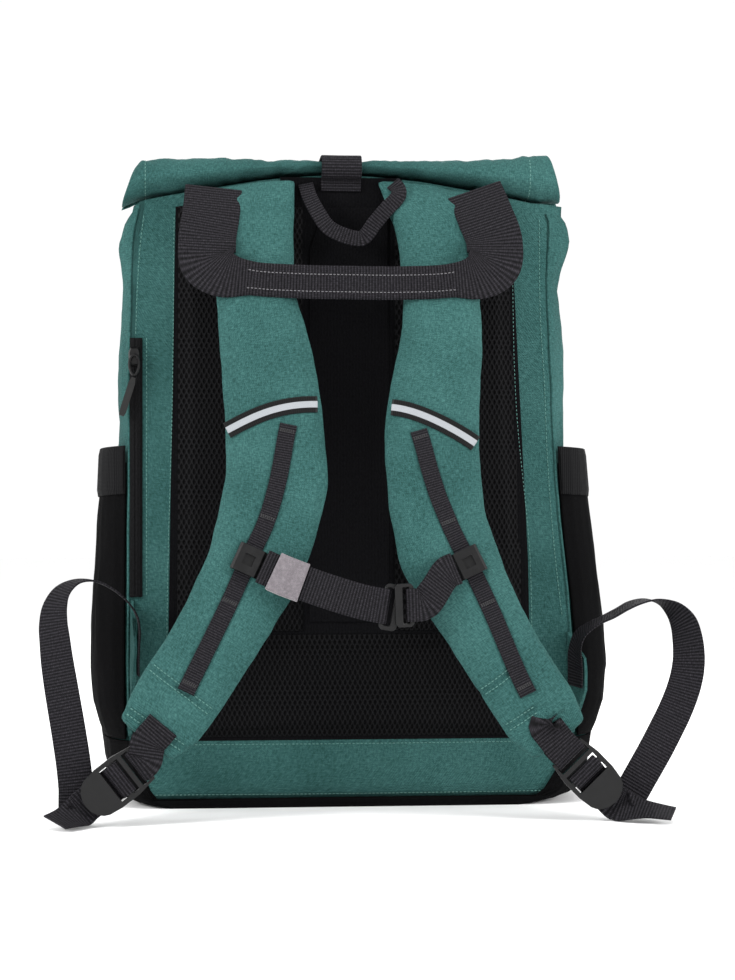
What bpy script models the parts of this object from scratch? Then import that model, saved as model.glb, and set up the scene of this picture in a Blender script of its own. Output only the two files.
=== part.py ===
"""Roll-top backpack, modelled from the side that carries its shoulder straps.

Frame: X to the right of that side, Y from the wearer's back into the bag, Z up.
The origin is the middle of the flat bottom. All sizes are in metres.
Tables give lengths as shares of the named sizes that their headings name.
"""

import math

import bmesh
import bpy
import numpy as np

# Named sizes
BODY_WIDTH = 0.320
BODY_HEIGHT = 0.450
BODY_DEPTH = 0.160
BODY_WALL = 0.0022
BOOT_WALL = 0.0022
STRAP_WIDTH = 0.076
STRAP_THICK = 0.012
GAP = 0.0004
PAD_THICK = 0.0050
ROLL_SHEET = 0.0016
ROLL_PITCH = 0.0023
POCKET_WALL = 0.0016
RIM_THICK = 0.0024
RIM_TALL = 0.036
HANDLE_WIDTH = 0.042
HANDLE_THICK = 0.0018
LOOP_WIDTH = 0.0115
LOOP_THICK = 0.0022
DAISY_WIDTH = 0.0125
DAISY_THICK = 0.0014
STERNUM_WIDTH = 0.025
STERNUM_THICK = 0.0016
ADJUSTER_WIDTH = 0.0245
ADJUSTER_THICK = 0.0014
CLOSURE_WIDTH = 0.030
CLOSURE_THICK = 0.0015
BAND_WIDTH = 0.0120
BAND_THICK = 0.0012
LOCK_WIDTH = 0.033
LOCK_THICK = 0.0042
LOCK_LENGTH = 0.050
SLIDER_SIZE = 0.0200
SLIDER_THICK = 0.0058
BAR_THICK = 0.0030
LUG_REACH = 0.0050
LUG_THICK = 0.0022
ZIP_WIDTH = 0.0095
ZIP_THICK = 0.0014
RING_WIRE = 0.0022
PULL_WIDTH = 0.0050

BACK = -BODY_DEPTH / 2

# Colours, linear RGB
TEAL = (0.035, 0.155, 0.130)
BLACK = (0.012, 0.012, 0.013)
MESH = (0.020, 0.020, 0.022)
CHARCOAL = (0.055, 0.052, 0.060)
SILVER = (0.60, 0.62, 0.64)
FELT = (0.140, 0.120, 0.130)
PLASTIC = (0.010, 0.010, 0.011)
METAL = (0.30, 0.30, 0.31)

# Sack, left side outline: height, seam, back of the side, side, front of the side, front corner
SACK_LEFT = (
    (0.0000, -0.4000, -0.4281, -0.4375, -0.4344, -0.3688),
    (0.0089, -0.4469, -0.4813, -0.4938, -0.4906, -0.4250),
    (0.0311, -0.4750, -0.5188, -0.5344, -0.5344, -0.4750),
    (0.1111, -0.4938, -0.5375, -0.5563, -0.5594, -0.5000),
    (0.2444, -0.4969, -0.5406, -0.5609, -0.5672, -0.5062),
    (0.3333, -0.4969, -0.5375, -0.5563, -0.5625, -0.5000),
    (0.4444, -0.4969, -0.5312, -0.5437, -0.5469, -0.4906),
    (0.6022, -0.4969, -0.5219, -0.5312, -0.5281, -0.4750),
    (0.7333, -0.4984, -0.5219, -0.5312, -0.5219, -0.4688),
    (0.8022, -0.4953, -0.5188, -0.5250, -0.5094, -0.4594),
    (0.8667, -0.4938, -0.5156, -0.5125, -0.5000, -0.4562),
    (0.9111, -0.4906, -0.5250, -0.5062, -0.5031, -0.4562),
    (0.9444, -0.4859, -0.5266, -0.4875, -0.5000, -0.4562),
    (0.9778, -0.4781, -0.5156, -0.4531, -0.4906, -0.4562),
    (1.0000, -0.4719, -0.4938, -0.4188, -0.4781, -0.4562),
)
# Sack, right side outline, same columns
SACK_RIGHT = (
    (0.0000, 0.4125, 0.4562, 0.4750, 0.4688, 0.3937),
    (0.0089, 0.4688, 0.5156, 0.5375, 0.5312, 0.4562),
    (0.0311, 0.5156, 0.5656, 0.5844, 0.5781, 0.5062),
    (0.1111, 0.5437, 0.5906, 0.6062, 0.5938, 0.5188),
    (0.2444, 0.5406, 0.5875, 0.6062, 0.5938, 0.5188),
    (0.3333, 0.5312, 0.5750, 0.5938, 0.5813, 0.5062),
    (0.4444, 0.5125, 0.5563, 0.5719, 0.5594, 0.4938),
    (0.6022, 0.4969, 0.5344, 0.5469, 0.5312, 0.4750),
    (0.7333, 0.4891, 0.5344, 0.5469, 0.5281, 0.4688),
    (0.8022, 0.4828, 0.5281, 0.5406, 0.5188, 0.4594),
    (0.8667, 0.4813, 0.5188, 0.5250, 0.5062, 0.4531),
    (0.9111, 0.4797, 0.5406, 0.5250, 0.5156, 0.4531),
    (0.9444, 0.4797, 0.5531, 0.5094, 0.5125, 0.4531),
    (0.9778, 0.4781, 0.5406, 0.4688, 0.5000, 0.4500),
    (1.0000, 0.4594, 0.5125, 0.4125, 0.4750, 0.4437),
)
# Sack, depth of the same points: height, back of the side, side, front of the side, corner, front
SACK_DEPTH = (
    (0.0000, -0.4125, -0.1250, 0.1375, 0.3000, 0.3625),
    (0.0089, -0.4000, -0.1000, 0.1750, 0.3750, 0.4437),
    (0.0311, -0.3875, -0.0750, 0.2000, 0.4125, 0.4938),
    (0.1111, -0.3750, -0.0625, 0.2125, 0.4250, 0.5125),
    (0.2444, -0.3750, -0.0625, 0.2125, 0.4250, 0.5125),
    (0.3333, -0.3750, -0.0625, 0.2125, 0.4250, 0.5125),
    (0.4444, -0.3750, -0.0625, 0.2062, 0.4125, 0.5000),
    (0.6022, -0.3750, -0.0750, 0.1750, 0.3750, 0.4688),
    (0.7333, -0.3812, -0.1125, 0.1125, 0.2750, 0.3750),
    (0.8022, -0.3875, -0.1562, 0.0250, 0.1688, 0.2687),
    (0.8667, -0.3937, -0.2000, -0.0625, 0.0500, 0.1375),
    (0.9111, -0.4000, -0.2437, -0.1375, -0.0500, 0.0125),
    (0.9444, -0.4062, -0.2812, -0.2062, -0.1313, -0.0875),
    (0.9778, -0.4188, -0.3250, -0.2687, -0.2188, -0.1875),
    (1.0000, -0.4250, -0.3625, -0.3125, -0.2750, -0.2625),
)
# Heights at which the sack is drawn, outside from the bottom up, then inside from the mouth down
SACK_OUT_ROWS = (
    (0.0093,), (0.0144,), (0.0222,), (0.0333,), (0.0667,), (0.1333,), (0.2444,), (0.3556,), (0.4778,), (0.5400,), (0.6022,), (0.7000,),
    (0.7667,), (0.8222,), (0.8667,), (0.8933,), (0.9200,), (0.9467,), (0.9733,), (1.0000,),
)
SACK_IN_ROWS = (
    (1.0000,), (0.9733,), (0.9467,), (0.9200,), (0.8933,), (0.8667,), (0.8222,), (0.7667,), (0.6022,), (0.3556,), (0.1333,), (0.0378,), (0.0189,),
)
ARCH_START = 0.83

# Roll at the top: across, bottom height, half height, middle depth, half depth, end shear
ROLL = (
    (-0.5000, 0.9933, 0.0378, -0.3937, 0.1375, 0.0187),
    (-0.4719, 1.0044, 0.0384, -0.4000, 0.1562, 0.0063),
    (-0.4062, 1.0144, 0.0342, -0.4062, 0.1625, 0.0000),
    (-0.3125, 1.0267, 0.0276, -0.4062, 0.1625, 0.0000),
    (-0.1938, 1.0418, 0.0198, -0.4062, 0.1625, 0.0000),
    (-0.0813, 1.0498, 0.0156, -0.4062, 0.1625, 0.0000),
    (-0.0531, 1.0511, 0.0133, -0.4062, 0.1562, 0.0000),
    (0.0422, 1.0511, 0.0133, -0.4062, 0.1562, 0.0000),
    (0.0688, 1.0502, 0.0156, -0.4062, 0.1625, 0.0000),
    (0.1875, 1.0422, 0.0200, -0.4062, 0.1625, 0.0000),
    (0.3125, 1.0267, 0.0284, -0.4062, 0.1688, 0.0000),
    (0.4000, 1.0144, 0.0367, -0.4062, 0.1688, 0.0000),
    (0.4469, 1.0071, 0.0422, -0.4000, 0.1625, 0.0063),
    (0.5031, 1.0049, 0.0456, -0.3875, 0.1500, 0.0187),
)
ROLL_TURNS = 1.80

# Shoulder straps: across, height, distance out from the back, width
STRAP_LEFT = (
    (-0.2094, 1.0389, 0.0144, 0.8421),
    (-0.2100, 1.0111, 0.0719, 0.8421),
    (-0.2109, 0.9356, 0.1500, 0.8421),
    (-0.2062, 0.8356, 0.2375, 0.8289),
    (-0.1875, 0.7533, 0.2875, 0.9342),
    (-0.1734, 0.6711, 0.3250, 0.9868),
    (-0.1672, 0.6067, 0.3500, 1.0197),
    (-0.1656, 0.5422, 0.3750, 1.0395),
    (-0.1844, 0.4789, 0.4000, 1.0263),
    (-0.2125, 0.4122, 0.4250, 0.9868),
    (-0.2781, 0.3200, 0.4625, 0.8947),
    (-0.3719, 0.2089, 0.5125, 0.8289),
    (-0.4219, 0.1567, 0.5375, 0.7895),
    (-0.4531, 0.1300, 0.5500, 0.7105),
)
STRAP_RIGHT = (
    (0.1938, 1.0356, 0.0087, 1.0263),
    (0.2016, 1.0089, 0.0750, 0.9342),
    (0.2109, 0.9622, 0.1281, 0.8553),
    (0.2172, 0.8933, 0.1875, 0.8289),
    (0.2188, 0.8378, 0.2375, 0.8158),
    (0.2125, 0.7533, 0.2875, 0.8684),
    (0.1953, 0.6722, 0.3250, 0.9474),
    (0.1891, 0.6067, 0.3500, 0.9737),
    (0.1922, 0.5422, 0.3750, 0.9737),
    (0.2031, 0.4778, 0.4000, 0.9737),
    (0.2234, 0.4200, 0.4250, 0.9868),
    (0.2906, 0.3244, 0.4625, 0.8684),
    (0.3906, 0.2000, 0.5125, 0.7763),
    (0.4313, 0.1522, 0.5375, 0.7500),
    (0.4609, 0.1244, 0.5500, 0.6842),
)
STRAP_STATIONS = 24

# Reflective bands, ends on the strap: across, height
BAND_LEFT = (
    (-0.2766, 0.6200), (-0.2313, 0.6367), (-0.1656, 0.6533), (-0.0719, 0.6633),
)
BAND_RIGHT = (
    (0.0953, 0.6578), (0.1625, 0.6467), (0.2281, 0.6244), (0.2859, 0.6000),
)
# Narrow webbing down the front of each strap: across, height
DAISY_LEFT = (
    (-0.1375, 0.6311), (-0.1594, 0.5489), (-0.1906, 0.4733), (-0.2250, 0.4222), (-0.2750, 0.3444), (-0.3563, 0.2289), (-0.3719, 0.2067),
)
DAISY_RIGHT = (
    (0.1562, 0.6200), (0.1906, 0.5333), (0.2266, 0.4644), (0.2625, 0.4133), (0.3094, 0.3422), (0.3781, 0.2244), (0.3937, 0.2022),
)
SLIDER_LEFT_AT = 0.50
SLIDER_RIGHT_AT = 0.50

# Back pads: left, right, bottom, top, and their lean
PAD_LEFT = (
    (-0.3937, 0.2922), (-0.0906, 0.2922), (-0.0906, 1.0000), (-0.3859, 1.0000),
)
PAD_RIGHT = (
    (0.1187, 0.2922), (0.4281, 0.2922), (0.3891, 1.0000), (0.1187, 1.0000),
)
PAD_LUMBAR = (
    (-0.4031, 0.1133), (0.4375, 0.1133), (0.4297, 0.2889), (-0.3969, 0.2889),
)
PAD_SPINE = (
    (-0.0859, 0.2922), (0.1141, 0.2922), (0.1141, 1.0111), (-0.0859, 1.0111),
)

# Carry handle: across, height, out, and how much of the width shows
HANDLE = (
    (-0.3031, 1.0222, 0.1050),
    (-0.3094, 0.9778, 0.1738),
    (-0.3187, 0.9289, 0.2325),
    (-0.3156, 0.8956, 0.2675),
    (-0.2875, 0.8767, 0.2900),
    (-0.2188, 0.8678, 0.2950),
    (-0.1125, 0.8633, 0.2950),
    (0.0000, 0.8622, 0.2950),
    (0.1219, 0.8622, 0.2950),
    (0.2344, 0.8667, 0.2950),
    (0.3031, 0.8756, 0.2931),
    (0.3344, 0.8956, 0.2725),
    (0.3406, 0.9289, 0.2413),
    (0.3219, 0.9778, 0.1900),
    (0.3000, 1.0222, 0.1313),
)
# Hang loop: across, height, out
LOOP = (
    (-0.0884, 1.0344, 0.0119),
    (-0.0813, 1.0133, 0.0500),
    (-0.0625, 0.9844, 0.0969),
    (-0.0375, 0.9578, 0.1250),
    (0.0063, 0.9433, 0.1313),
    (0.0406, 0.9411, 0.1313),
    (0.0656, 0.9633, 0.1331),
    (0.0969, 0.9900, 0.1400),
    (0.1203, 1.0078, 0.1306),
    (0.1266, 1.0211, 0.1087),
    (0.1141, 1.0344, 0.0725),
)
# Adjuster webbing: across, height, out, and the direction of its width as X, Y and Z
ADJUSTER_LEFT = (
    (-0.4789, 0.2267, 0.1062, 0.13, -0.99, 0),
    (-0.4781, 0.2644, 0.1187, 0.12, -0.99, 0),
    (-0.4731, 0.3000, 0.1437, 0.03, -1, 0),
    (-0.4856, 0.3311, 0.1812, 0.07, -1, 0),
    (-0.5156, 0.3567, 0.2125, 0.1, -0.99, 0),
    (-0.5563, 0.3756, 0.2375, 0.17, -0.98, 0),
    (-0.5969, 0.3822, 0.2625, 0.31, -0.95, 0),
    (-0.6375, 0.3711, 0.2875, 0.53, -0.85, 0),
    (-0.6625, 0.3356, 0.3125, 0.77, -0.64, 0),
    (-0.6578, 0.2733, 0.3563, 0.93, -0.37, 0),
    (-0.6438, 0.2111, 0.4000, 0.98, -0.17, 0),
    (-0.6281, 0.1511, 0.4469, 1, -0.09, 0),
    (-0.6156, 0.0978, 0.4844, 1, -0.03, -0.05),
    (-0.6094, 0.0556, 0.5019, 1, 0, -0.15),
    (-0.6094, 0.0300, 0.5081, 0.94, 0, -0.32),
    (-0.6062, 0.0200, 0.5181, 0.91, 0, -0.41),
)
ADJUSTER_RIGHT = (
    (0.5403, 0.2000, 0.1062, 0.26, -0.97, 0),
    (0.5406, 0.2356, 0.1125, 0.26, -0.97, 0),
    (0.5394, 0.2689, 0.1375, 0.2, -0.98, 0),
    (0.5563, 0.2933, 0.1750, 0.1, -0.99, 0),
    (0.5844, 0.3089, 0.2000, 0.07, -1, 0),
    (0.6219, 0.3233, 0.2250, 0.14, -0.99, 0),
    (0.6719, 0.3422, 0.2562, 0.24, -0.97, 0),
    (0.7250, 0.3422, 0.2875, 0.41, -0.91, 0),
    (0.7688, 0.3156, 0.3125, 0.64, -0.77, 0),
    (0.7812, 0.2578, 0.3563, 0.85, -0.53, 0),
    (0.7672, 0.2111, 0.3937, 0.95, -0.31, 0),
    (0.7344, 0.1622, 0.4375, 0.98, -0.17, 0),
    (0.6937, 0.1133, 0.4750, 1, -0.05, 0.05),
    (0.6531, 0.0667, 0.4969, 1, 0, 0.12),
    (0.6250, 0.0333, 0.5062, 0.96, 0, 0.27),
    (0.6141, 0.0211, 0.5175, 0.94, 0, 0.34),
)
# Free end past the lock, same columns
TAIL_LEFT = (
    (-0.5969, 0.0271, 0.5550, 0.66, -0.1, -0.72),
    (-0.6125, 0.0213, 0.5781, 0.72, -0.35, -0.45),
    (-0.6312, 0.0169, 0.6094, 0.73, -0.52, -0.32),
    (-0.6516, 0.0138, 0.6469, 0.73, -0.6, -0.26),
)
TAIL_RIGHT = (
    (0.6016, 0.0249, 0.5563, 0.74, 0.1, 0.66),
    (0.6266, 0.0213, 0.5781, 0.76, 0.35, 0.42),
    (0.6625, 0.0191, 0.6094, 0.66, 0.62, 0.26),
    (0.7125, 0.0147, 0.6469, 0.56, 0.76, 0.18),
)
# Ladder locks: end bar across, height, out, and the direction they point
LOCK_LEFT = (
    (-0.4703, 0.0978, 0.5625, -0.79, -0.03, -0.61),
)
LOCK_RIGHT = (
    (0.4859, 0.1056, 0.5625, 0.7, -0.03, -0.72),
)

# Side pockets: how far out they stand, as a share of the named bulge, by height
POCKET_BOTTOM = 0.0515
POCKET_BULGE_LEFT = 0.0085
POCKET_BULGE_RIGHT = 0.0115
POCKET_TOP = 0.270
POCKET_TOP_DROP = 0.004
POCKET_SPAN_LEFT = 6.4
POCKET_SPAN_RIGHT = 6.4

# Steps between the named points of the sack's outline, from the left seam round to the right seam
ROUND_STEPS = (2, 3, 3, 3, 3, 1, 1, 3, 3, 3, 3, 2)
FRONT_MIDDLE = 15
RIGHT_SEAM = 30


def clear_scene():
    for item in list(bpy.data.objects):
        bpy.data.objects.remove(item, do_unlink=True)


def collection(name, helper=False):
    made = bpy.data.collections.new(name)
    bpy.context.scene.collection.children.link(made)
    made.hide_render = helper
    return made


clear_scene()
PARTS = collection("roll_top_backpack")
CUTTERS = collection("cutters", helper=True)
MATERIALS = {}


def material(name, colour, rough, metallic=0.0):
    made = bpy.data.materials.new(name)
    made.use_nodes = True
    shader = made.node_tree.nodes["Principled BSDF"]
    shader.inputs["Base Color"].default_value = (*colour, 1.0)
    shader.inputs["Roughness"].default_value = rough
    shader.inputs["Metallic"].default_value = metallic
    made.diffuse_color = (*colour, 1.0)
    return made


def place(name, mesh, colour, rough=0.85, metallic=0.0, home=None):
    item = bpy.data.objects.new(name, mesh)
    (home or PARTS).objects.link(item)
    mesh.materials.clear()
    mesh.materials.append(material(name, colour, rough, metallic))
    return item


def tidy(mesh):
    """Turns every face outwards and drops points that no face uses."""
    work = bmesh.new()
    work.from_mesh(mesh)
    bmesh.ops.remove_doubles(work, verts=work.verts, dist=1e-6)
    bmesh.ops.recalc_face_normals(work, faces=work.faces)
    work.to_mesh(mesh)
    work.free()
    mesh.update()


def mesh_part(name, points, faces, colour, rough=0.85, metallic=0.0):
    mesh = bpy.data.meshes.new(name)
    mesh.from_pydata([tuple(p) for p in points], [], faces)
    tidy(mesh)
    return place(name, mesh, colour, rough, metallic)


def table(rows, sizes):
    return np.array(rows, dtype=float) * np.array(sizes, dtype=float)


def curve_through(xs, ys, x):
    """Smooth value at x of the columns ys, with no overshoot between rows."""
    xs = np.asarray(xs)
    ys = np.asarray(ys)
    step = np.diff(xs)
    slope = np.diff(ys, axis=0) / step[:, None]
    tangent = np.zeros_like(ys)
    tangent[0] = slope[0]
    tangent[-1] = slope[-1]
    same = slope[:-1] * slope[1:] > 0
    total = slope[:-1] + slope[1:]
    total[total == 0] = 1.0
    tangent[1:-1] = np.where(same, 2 * slope[:-1] * slope[1:] / total, 0.0)
    x = min(max(x, xs[0]), xs[-1])
    k = int(min(max(np.searchsorted(xs, x) - 1, 0), len(step) - 1))
    t = (x - xs[k]) / step[k]
    a = 2 * t**3 - 3 * t**2 + 1
    b = t**3 - 2 * t**2 + t
    c = -2 * t**3 + 3 * t**2
    d = t**3 - t**2
    return a * ys[k] + b * step[k] * tangent[k] + c * ys[k + 1] + d * step[k] * tangent[k + 1]


def spline(points, per):
    """Rounded line through the points. per is how many steps there are from each to the next."""
    points = np.asarray(points, dtype=float)
    first = 2 * points[0] - points[1]
    last = 2 * points[-1] - points[-2]
    padded = np.vstack([first, points, last])
    spans = len(points) - 1
    steps = [per] * spans if isinstance(per, int) else list(per)
    made = []
    for i in range(spans):
        p0, p1, p2, p3 = padded[i : i + 4]
        knots = [0.0]
        for a, b in ((p0, p1), (p1, p2), (p2, p3)):
            knots.append(knots[-1] + max(np.linalg.norm(b[:3] - a[:3]), 1e-9) ** 0.5)
        t0, t1, t2, t3 = knots
        for j in range(steps[i]):
            t = t1 + (t2 - t1) * j / steps[i]
            a1 = (t1 - t) / (t1 - t0) * p0 + (t - t0) / (t1 - t0) * p1
            a2 = (t2 - t) / (t2 - t1) * p1 + (t - t1) / (t2 - t1) * p2
            a3 = (t3 - t) / (t3 - t2) * p2 + (t - t2) / (t3 - t2) * p3
            b1 = (t2 - t) / (t2 - t0) * a1 + (t - t0) / (t2 - t0) * a2
            b2 = (t3 - t) / (t3 - t1) * a2 + (t - t1) / (t3 - t1) * a3
            made.append((t2 - t) / (t2 - t1) * b1 + (t - t1) / (t2 - t1) * b2)
    made.append(points[-1])
    return np.array(made)


def even(points, count, keep=3):
    """The same line as this many points, evenly spaced."""
    steps = np.linalg.norm(np.diff(points[:, :keep], axis=0), axis=1)
    at = np.concatenate([[0.0], np.cumsum(steps)])
    want = np.linspace(0, at[-1], count)
    return np.stack([np.interp(want, at, points[:, k]) for k in range(points.shape[1])], axis=1)


def unit(v):
    v = np.asarray(v, dtype=float)
    return v / max(np.linalg.norm(v), 1e-12)


def tangents(line):
    made = np.gradient(line, axis=0)
    return np.array([unit(v) for v in made])


def loft(name, rings, colour, rough=0.85, metallic=0.0, strip=False):
    """Joins closed rings of the same count and shuts both ends. With strip, each ring is a bent
    sheet, its second half the other face in reverse, and the ends are shut across the sheet."""
    n = len(rings[0])
    points = [p for ring in rings for p in ring]
    faces = []
    for r in range(len(rings) - 1):
        for i in range(n):
            j = (i + 1) % n
            faces.append((r * n + i, r * n + j, (r + 1) * n + j, (r + 1) * n + i))
    for base in (0, (len(rings) - 1) * n):
        if strip:
            for i in range(n // 2 - 1):
                faces.append((base + i, base + i + 1, base + n - 2 - i, base + n - 1 - i))
        else:
            faces.append(tuple(base + i for i in range(n)))
    return mesh_part(name, points, faces, colour, rough, metallic)


def band(name, rings, colour, rough=0.85, metallic=0.0):
    """Joins four-cornered rings. Both faces of the band share each diagonal, so a twist can't
    make one face cut through the other."""
    points = [p for ring in rings for p in ring]
    faces = [(0, 1, 2, 3)]
    for r in range(len(rings) - 1):
        a = 4 * r
        b = a + 4
        faces += [(a, a + 1, b + 1), (a, b + 1, b), (a + 3, b + 2, a + 2), (a + 3, b + 3, b + 2)]
        faces += [(a + 1, a + 2, b + 2), (a + 1, b + 2, b + 1), (a, b, b + 3), (a, b + 3, a + 3)]
    end = 4 * (len(rings) - 1)
    faces.append((end + 3, end + 2, end + 1, end))
    return mesh_part(name, points, faces, colour, rough, metallic)


def ribbon(name, line, across, width, thick, colour, rough=0.85, taper=None):
    """A flat band along the line. across gives the direction of its width at each point."""
    along = tangents(line)
    rings = []
    for i, point in enumerate(line):
        side = np.asarray(across[i], dtype=float)
        side = unit(side - np.dot(side, along[i]) * along[i])
        up = unit(np.cross(side, along[i]))
        half = (width if taper is None else width * taper[i]) / 2
        rings.append(
            [
                point - side * half - up * thick / 2,
                point + side * half - up * thick / 2,
                point + side * half + up * thick / 2,
                point - side * half + up * thick / 2,
            ]
        )
    return band(name, rings, colour, rough)


# Sack outline
LEFT = table(SACK_LEFT, (BODY_HEIGHT,) + (BODY_WIDTH,) * 5)
RIGHT = table(SACK_RIGHT, (BODY_HEIGHT,) + (BODY_WIDTH,) * 5)
DEPTH = table(SACK_DEPTH, (BODY_HEIGHT,) + (BODY_DEPTH,) * 5)
NEAR_SEAM = 0.012


def section(z):
    """Outline of the sack at height z: the left seam, round the front to the right seam, then
    back along the flat back."""
    left = curve_through(LEFT[:, 0], LEFT[:, 1:], z)
    right = curve_through(RIGHT[:, 0], RIGHT[:, 1:], z)
    deep = curve_through(DEPTH[:, 0], DEPTH[:, 1:], z)
    side_l = [(left[0], BACK), (left[1], deep[0]), (left[2], deep[1]), (left[3], deep[2]), (left[4], deep[3])]
    side_r = [(right[0], BACK), (right[1], deep[0]), (right[2], deep[1]), (right[3], deep[2]), (right[4], deep[3])]
    middle = [((left[4] * 0.52 + right[4] * 0.04), deep[4] * 0.9 + deep[3] * 0.1), ((left[4] + right[4]) / 2, deep[4])]
    middle.append(((right[4] * 0.52 + left[4] * 0.04), deep[4] * 0.9 + deep[3] * 0.1))
    round_part = spline(side_l + middle + side_r[::-1], ROUND_STEPS)
    back = []
    for share in (1 - NEAR_SEAM, 0.5, NEAR_SEAM):
        back.append((left[0] + (right[0] - left[0]) * share, BACK))
    return np.vstack([round_part, back])


def outward(outline):
    """Outward direction at each point of a closed outline."""
    ahead = np.roll(outline, -1, axis=0) - outline
    behind = outline - np.roll(outline, 1, axis=0)
    ahead = ahead / np.maximum(np.linalg.norm(ahead, axis=1), 1e-9)[:, None]
    behind = behind / np.maximum(np.linalg.norm(behind, axis=1), 1e-9)[:, None]
    mean = ahead + behind
    mean = mean / np.maximum(np.linalg.norm(mean, axis=1), 1e-9)[:, None]
    out = np.stack([-mean[:, 1], mean[:, 0]], axis=1)
    return out


def under_roll(x, up=0.0):
    """Height of the roll's lower edge at this x, or this share of its half height above it."""
    data = table(ROLL, (BODY_WIDTH, BODY_HEIGHT, BODY_HEIGHT, 1, 1, 1))
    return float(np.interp(x, data[:, 0], data[:, 1] + data[:, 2] * up))


def arch(x, z):
    """How much higher the mouth is here than at its ends."""
    share = (z / BODY_HEIGHT - ARCH_START) / (1 - ARCH_START)
    share = min(max(share, 0.0), 1.0)
    share = share * share * (3 - 2 * share)
    return share * (under_roll(x, 0.08) - GAP * 2.7 - BODY_HEIGHT)


def skin(z, grow):
    """Ring of the sack at height z, moved outwards by grow."""
    flat = section(z)
    moved = flat + outward(flat) * grow
    return np.array([(x, y, z + arch(x, z)) for x, y in moved])


def make_sack():
    outer = [skin(row[0] * BODY_HEIGHT, 0.0) for row in SACK_OUT_ROWS]
    outer[0] = skin(SACK_OUT_ROWS[0][0] * BODY_HEIGHT, -0.0032)
    outer[1] = skin(SACK_OUT_ROWS[1][0] * BODY_HEIGHT, -0.0010)
    inner = [skin(row[0] * BODY_HEIGHT, -BODY_WALL) for row in SACK_IN_ROWS]
    loft("bag_body", outer + inner, TEAL)


def make_boot():
    """Tray over the bottom of the sack: low along the back, higher round the sides and front."""
    count = len(section(0.0))
    low = 0.0155 * BODY_HEIGHT
    high = 0.112 * BODY_HEIGHT
    tops = np.full(count, high)
    tops[-3:] = low
    shares_out = (0.0, 0.05, 0.129, 0.198, 0.298, 0.595, 1.0)
    shares_in = (1.0, 0.595, 0.298, 0.198, 0.129, 0.058)
    floor = BOOT_WALL * 1.1

    def row(share, grow, lift):
        ring = []
        for i in range(count):
            z = max(tops[i] * share, lift)
            flat = section(z)
            ring.append((*(flat[i] + outward(flat)[i] * grow), z))
        return np.array(ring)

    outer = [row(s, GAP + BOOT_WALL, 0.0) for s in shares_out]
    inner = [row(s, GAP, floor) for s in shares_in[:-1]]
    bottom = row(shares_in[-1], -0.0019, floor)
    bottom[:, 2] = floor
    loft("base_boot", outer + inner + [bottom], BLACK, 0.7)


def make_roll():
    data = table(ROLL, (BODY_WIDTH, BODY_HEIGHT, BODY_HEIGHT, BODY_DEPTH, BODY_DEPTH, BODY_WIDTH))
    turn = 2 * math.pi
    angles = np.linspace(-0.20 * turn, (ROLL_TURNS - 0.20) * turn, 26)
    power = 2 / 2.5
    rings = []
    for x, bottom, half_z, mid_y, half_y, shear in data:
        mid_z = bottom + half_z
        outer = []
        inner = []
        for angle in angles:
            inside = (angle - angles[0]) / turn * ROLL_PITCH
            for target, extra in ((outer, 0.0), (inner, ROLL_SHEET)):
                ry = max(half_y - inside - extra, 0.0008)
                rz = max(half_z - inside - extra, 0.0008)
                c = math.cos(angle)
                s = math.sin(angle)
                y = mid_y + ry * math.copysign(abs(c) ** power, c)
                z = mid_z + rz * math.copysign(abs(s) ** power, s)
                lean = -shear * (z - mid_z) / half_z * (1 if x > 0 else -1)
                target.append((x + lean, y, z))
        rings.append(np.array(outer + inner[::-1]))
    loft("roll_top", rings, TEAL, strip=True)


# Shoulder straps
SIDES = {}


def strap_line(rows, count):
    data = table(rows, (BODY_WIDTH, BODY_HEIGHT, BODY_DEPTH, STRAP_WIDTH))
    line = np.stack([data[:, 0], BACK - data[:, 2], data[:, 1], data[:, 3]], axis=1)
    return even(spline(line, 12), count)


def strap_frames(line):
    centre = line[:, :3]
    along = tangents(centre)
    frames = []
    for i in range(len(line)):
        side = unit((-along[i][2], 0.0, along[i][0]))
        face = unit(np.cross(along[i], side))
        if face[1] > 0:
            face = -face
        if side[0] < 0:
            side = -side
        frames.append((centre[i], along[i], side, face, line[i, 3] / 2))
    return frames


# Half section of a strap: share of the half width, share of the half thickness
STRAP_SECTION = ((1.0, 0.32), (0.91, 0.82), (0.60, 1.0), (0.0, 1.0))


def strap_face(share):
    """Height of the strap's front over its middle, as a share of half its thickness."""
    xs = [1 - p[0] for p in STRAP_SECTION]
    ys = [p[1] for p in STRAP_SECTION]
    return float(np.interp(1 - min(abs(share), 1.0), xs, ys))


def make_strap(name, rows):
    line = strap_line(rows, STRAP_STATIONS)
    # The lower end is rounded off and both ends thin out to a seam.
    frames = strap_frames(line)
    rings = []
    last = len(frames) - 1
    for i, (centre, along, side, face, half) in enumerate(frames):
        scale = 1.0
        thin = 1.0
        if i == last:
            scale = 0.86
            thin = 0.7
        if i == last - 1:
            scale = 0.975
            thin = 0.95
        if i == 0:
            thin = 0.5
        front = [(u * scale, v) for u, v in STRAP_SECTION]
        ring = []
        for u, v in front:
            ring.append(centre + side * half * u + face * STRAP_THICK / 2 * v * thin)
        for u, v in front[:-1][::-1]:
            ring.append(centre - side * half * u + face * STRAP_THICK / 2 * v * thin)
        for u, v in front:
            ring.append(centre - side * half * u - face * STRAP_THICK / 2 * v * thin)
        for u, v in front[:-1][::-1]:
            ring.append(centre + side * half * u - face * STRAP_THICK / 2 * v * thin)
        if i == 0:
            ring = [np.array((p[0], p[1], under_roll(p[0]) - 0.0013)) for p in ring]
        rings.append(ring)
    loft(name, rings, TEAL)
    fine = strap_line(rows, 241)
    SIDES[name] = strap_frames(fine)


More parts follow.
